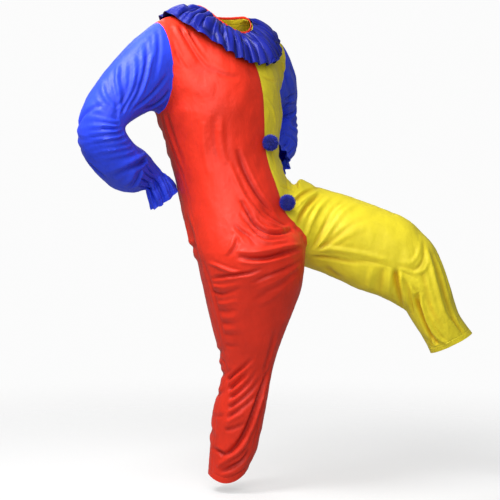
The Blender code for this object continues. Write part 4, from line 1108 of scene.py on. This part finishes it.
FLOOR_HEIGHT = -1.45
STUDIO_LIGHT, STUDIO_WHITE = 0.23, 0.97    # the studio's walls as light, and as seen
CHEST = Vector((0.0, -0.05, -0.37))        # the lights aim at the chest
Light = namedtuple("Light", "name azimuth elevation distance width height power")
LIGHTS = [
    Light("key", -100, 52, 1.9, 0.9, 0.9, 52),
    Light("fill", -50, 22, 2.6, 2.0, 2.0, 43),
    Light("rim", 150, 45, 3.5, 1.6, 1.6, 26),
]


# Operators -------------------------------------------------------------------------------


class COSTUME_OT_body(bpy.types.Operator):
    """Sew the four body panels and the two sleeves as folded cloth"""

    bl_idname = "costume.body"
    bl_label = "Panels and sleeves"

    def execute(self, context):
        cloth = context.scene.costume_cloth
        points, quads, marks = body_skin(cloth.detail)
        seam, rim = seam_and_rim_points(quads, marks, len(points))
        points = lift_hem(points, rim)
        normals = point_normals(points, quads)
        away = distance_to(points, points[seam], SEAM_STIFF * 3)
        heights = drawn_folds(points, normals, quads, cloth.folds)
        heights *= 1 - SEAM_HOLD * np.exp(-(away / SEAM_STIFF) ** 2)
        # painted shade: the troughs of the drawn folds get a darker colour in the material
        shade = np.clip(-heights / FULL_SHADE, 0, 1)
        heights += cloth_waves(points, cloth.drape, cloth.crumple)
        heights -= cloth.seam * np.exp(-(away / SEAM_GROOVE) ** 2)
        hem = distance_to(points, points[rim], HEM_DEPTH * 2)
        points = points + normals * heights[:, None]
        parts = split_pieces(quads, marks, len(BODY_PIECES))
        for piece, (used, faces) in zip(BODY_PIECES, parts):
            item = new_object(piece.cloth, points[used].tolist(), faces.tolist())
            add_values(item, "from_hem", hem[used])
            add_values(item, "in_fold", shade[used])
            apply_modifier(item, "SOLIDIFY", thickness=cloth.thickness, offset=-1.0)
            finish_piece(item, piece.node, material_for(piece.colour))
        return {"FINISHED"}


class COSTUME_OT_collar(bpy.types.Operator):
    """Gather the wide collar and bind the neckline"""

    bl_idname = "costume.collar"
    bl_label = "Collar and neck binding"

    def execute(self, context):
        cloth = context.scene.costume_cloth
        collar = new_object("blue_collar", *outer_side("collar_ruffle", upward=True))
        apply_modifier(collar, "SUBSURF", levels=cloth.detail, render_levels=cloth.detail)
        points, quads, _ = mesh_arrays(collar)
        heights, out = collar_gathers(points)
        points = points + point_normals(points, quads) * (heights * cloth.gather)[:, None]
        # painted shade in the valleys between the collar's gathers
        shade = np.clip((COLLAR_SHADE_FROM - heights) * COLLAR_SHADE, 0, 1)
        add_values(collar, "in_fold", shade)
        add_values(collar, "from_hem", (1 - out) * COLLAR_WIDTH)
        collar.data.vertices.foreach_set("co", points.ravel())
        collar.data.update()
        apply_modifier(collar, "SOLIDIFY", thickness=cloth.thickness, offset=-1.0)
        finish_piece(collar, "collar_ruffle", material_for("collar"))

        band = merged_copy("neck_binding", "red_binding")
        apply_modifier(band, "SUBSURF", levels=2, render_levels=2)
        for vert in band.data.vertices:
            x, y, z = vert.co
            pucker = noise.noise(Vector((x * PUCKERS, y * PUCKERS, z * PUCKERS_DOWN)))
            vert.co += vert.normal * pucker * BINDING_PUCKER
        finish_piece(band, "neck_binding", material_for("red"))
        return {"FINISHED"}


class COSTUME_OT_pompoms(bpy.types.Operator):
    """Tie the two yarn pompoms on the centre front"""

    bl_idname = "costume.pompoms"
    bl_label = "Pompoms"

    def execute(self, context):
        yarn = context.scene.costume_yarn
        material = yarn_material(tuple(context.scene.costume_colours.yarn))
        body = body_tree()
        for node, name in (("pompom_upper", "yarn_upper"), ("pompom_lower", "yarn_lower")):
            low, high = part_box(node)
            centre = (low + high) / 2
            seat = body.find_nearest(centre)[0]
            centre = seat + (centre - seat).normalized() * POMPOM_SEAT
            item = pompom(name, centre, (centre - seat).normalized(), yarn)
            finish_piece(item, node, material)
        return {"FINISHED"}


class COSTUME_OT_stage(bpy.types.Operator):
    """Set the pale floor, the soft studio lights and the camera"""

    bl_idname = "costume.stage"
    bl_label = "Stage"

    def execute(self, context):
        scene = context.scene
        bpy.ops.object.select_all(action="DESELECT")
        bpy.ops.mesh.primitive_plane_add(size=30, location=(0, 0, FLOOR_HEIGHT))
        floor = context.object
        floor.name = "floor"
        floor.data.materials.append(floor_material())

        world = bpy.data.worlds.new("studio")
        world.use_nodes = True
        backdrop = world.node_tree.nodes["Background"]
        backdrop.inputs["Color"].default_value = (1.0, 1.0, 1.0, 1.0)
        nodes, links = world.node_tree.nodes, world.node_tree.links
        sight = add_node(nodes, "LightPath")
        level = add_node(nodes, "MapRange", {"To Min": STUDIO_LIGHT, "To Max": STUDIO_WHITE})
        links.new(sight.outputs["Is Camera Ray"], level.inputs["Value"])
        links.new(level.outputs["Result"], backdrop.inputs["Strength"])
        scene.world = world
        scene.view_settings.view_transform = "Standard"

        for light in LIGHTS:
            data = bpy.data.lights.new(light.name, "AREA")
            data.shape = "RECTANGLE"
            data.size, data.size_y = light.width, light.height
            data.energy = light.power
            lamp = bpy.data.objects.new(light.name, data)
            place = direction(light.azimuth, light.elevation) * light.distance
            lamp.location = CHEST + place
            lamp.rotation_euler = place.to_track_quat("Z", "Y").to_euler()
            scene.collection.objects.link(lamp)

        data = bpy.data.cameras.new("camera")
        data.lens = data.sensor_width * DRAWING_DISTANCE / (DRAWING_UNIT * DRAWING_WIDTH)
        data.clip_end = 100.0
        camera = bpy.data.objects.new("camera", data)
        away = direction(*DRAWINGS["front"])
        camera.location = DRAWING_MIDDLE + away * DRAWING_DISTANCE
        camera.rotation_euler = away.to_track_quat("Z", "Y").to_euler()
        scene.collection.objects.link(camera)
        scene.camera = camera
        return {"FINISHED"}


class COSTUME_PT_panel(bpy.types.Panel):
    """Sizes, colours and steps of the costume"""

    bl_idname = "COSTUME_PT_panel"
    bl_label = "Clown Costume"
    bl_space_type = "VIEW_3D"
    bl_region_type = "UI"
    bl_category = "Costume"

    def draw(self, context):
        column = self.layout.column()
        for group in (context.scene.costume_cloth, context.scene.costume_yarn,
                      context.scene.costume_colours):
            for name in type(group).__annotations__:
                column.prop(group, name)
        for step in STEPS:
            column.operator(step.bl_idname)


STEPS = (COSTUME_OT_body, COSTUME_OT_collar, COSTUME_OT_pompoms, COSTUME_OT_stage)
GROUPS = {"costume_cloth": CostumeCloth, "costume_yarn": CostumeYarn,
          "costume_colours": CostumeColours}
CLASSES = tuple(GROUPS.values()) + STEPS + (COSTUME_PT_panel,)


def register():
    """Register the classes and their settings."""
    for item in CLASSES:
        bpy.utils.register_class(item)
    for name, group in GROUPS.items():
        setattr(bpy.types.Scene, name, bpy.props.PointerProperty(type=group))


def unregister():
    """Remove the classes and their settings."""
    for name in GROUPS:
        delattr(bpy.types.Scene, name)
    for item in reversed(CLASSES):
        bpy.utils.unregister_class(item)


def main():
    """Make every piece and the stage."""
    register()
    bpy.ops.costume.body()
    bpy.ops.costume.collar()
    bpy.ops.costume.pompoms()
    bpy.ops.costume.stage()
    bpy.context.view_layer.update()


if __name__ == "__main__":
    main()
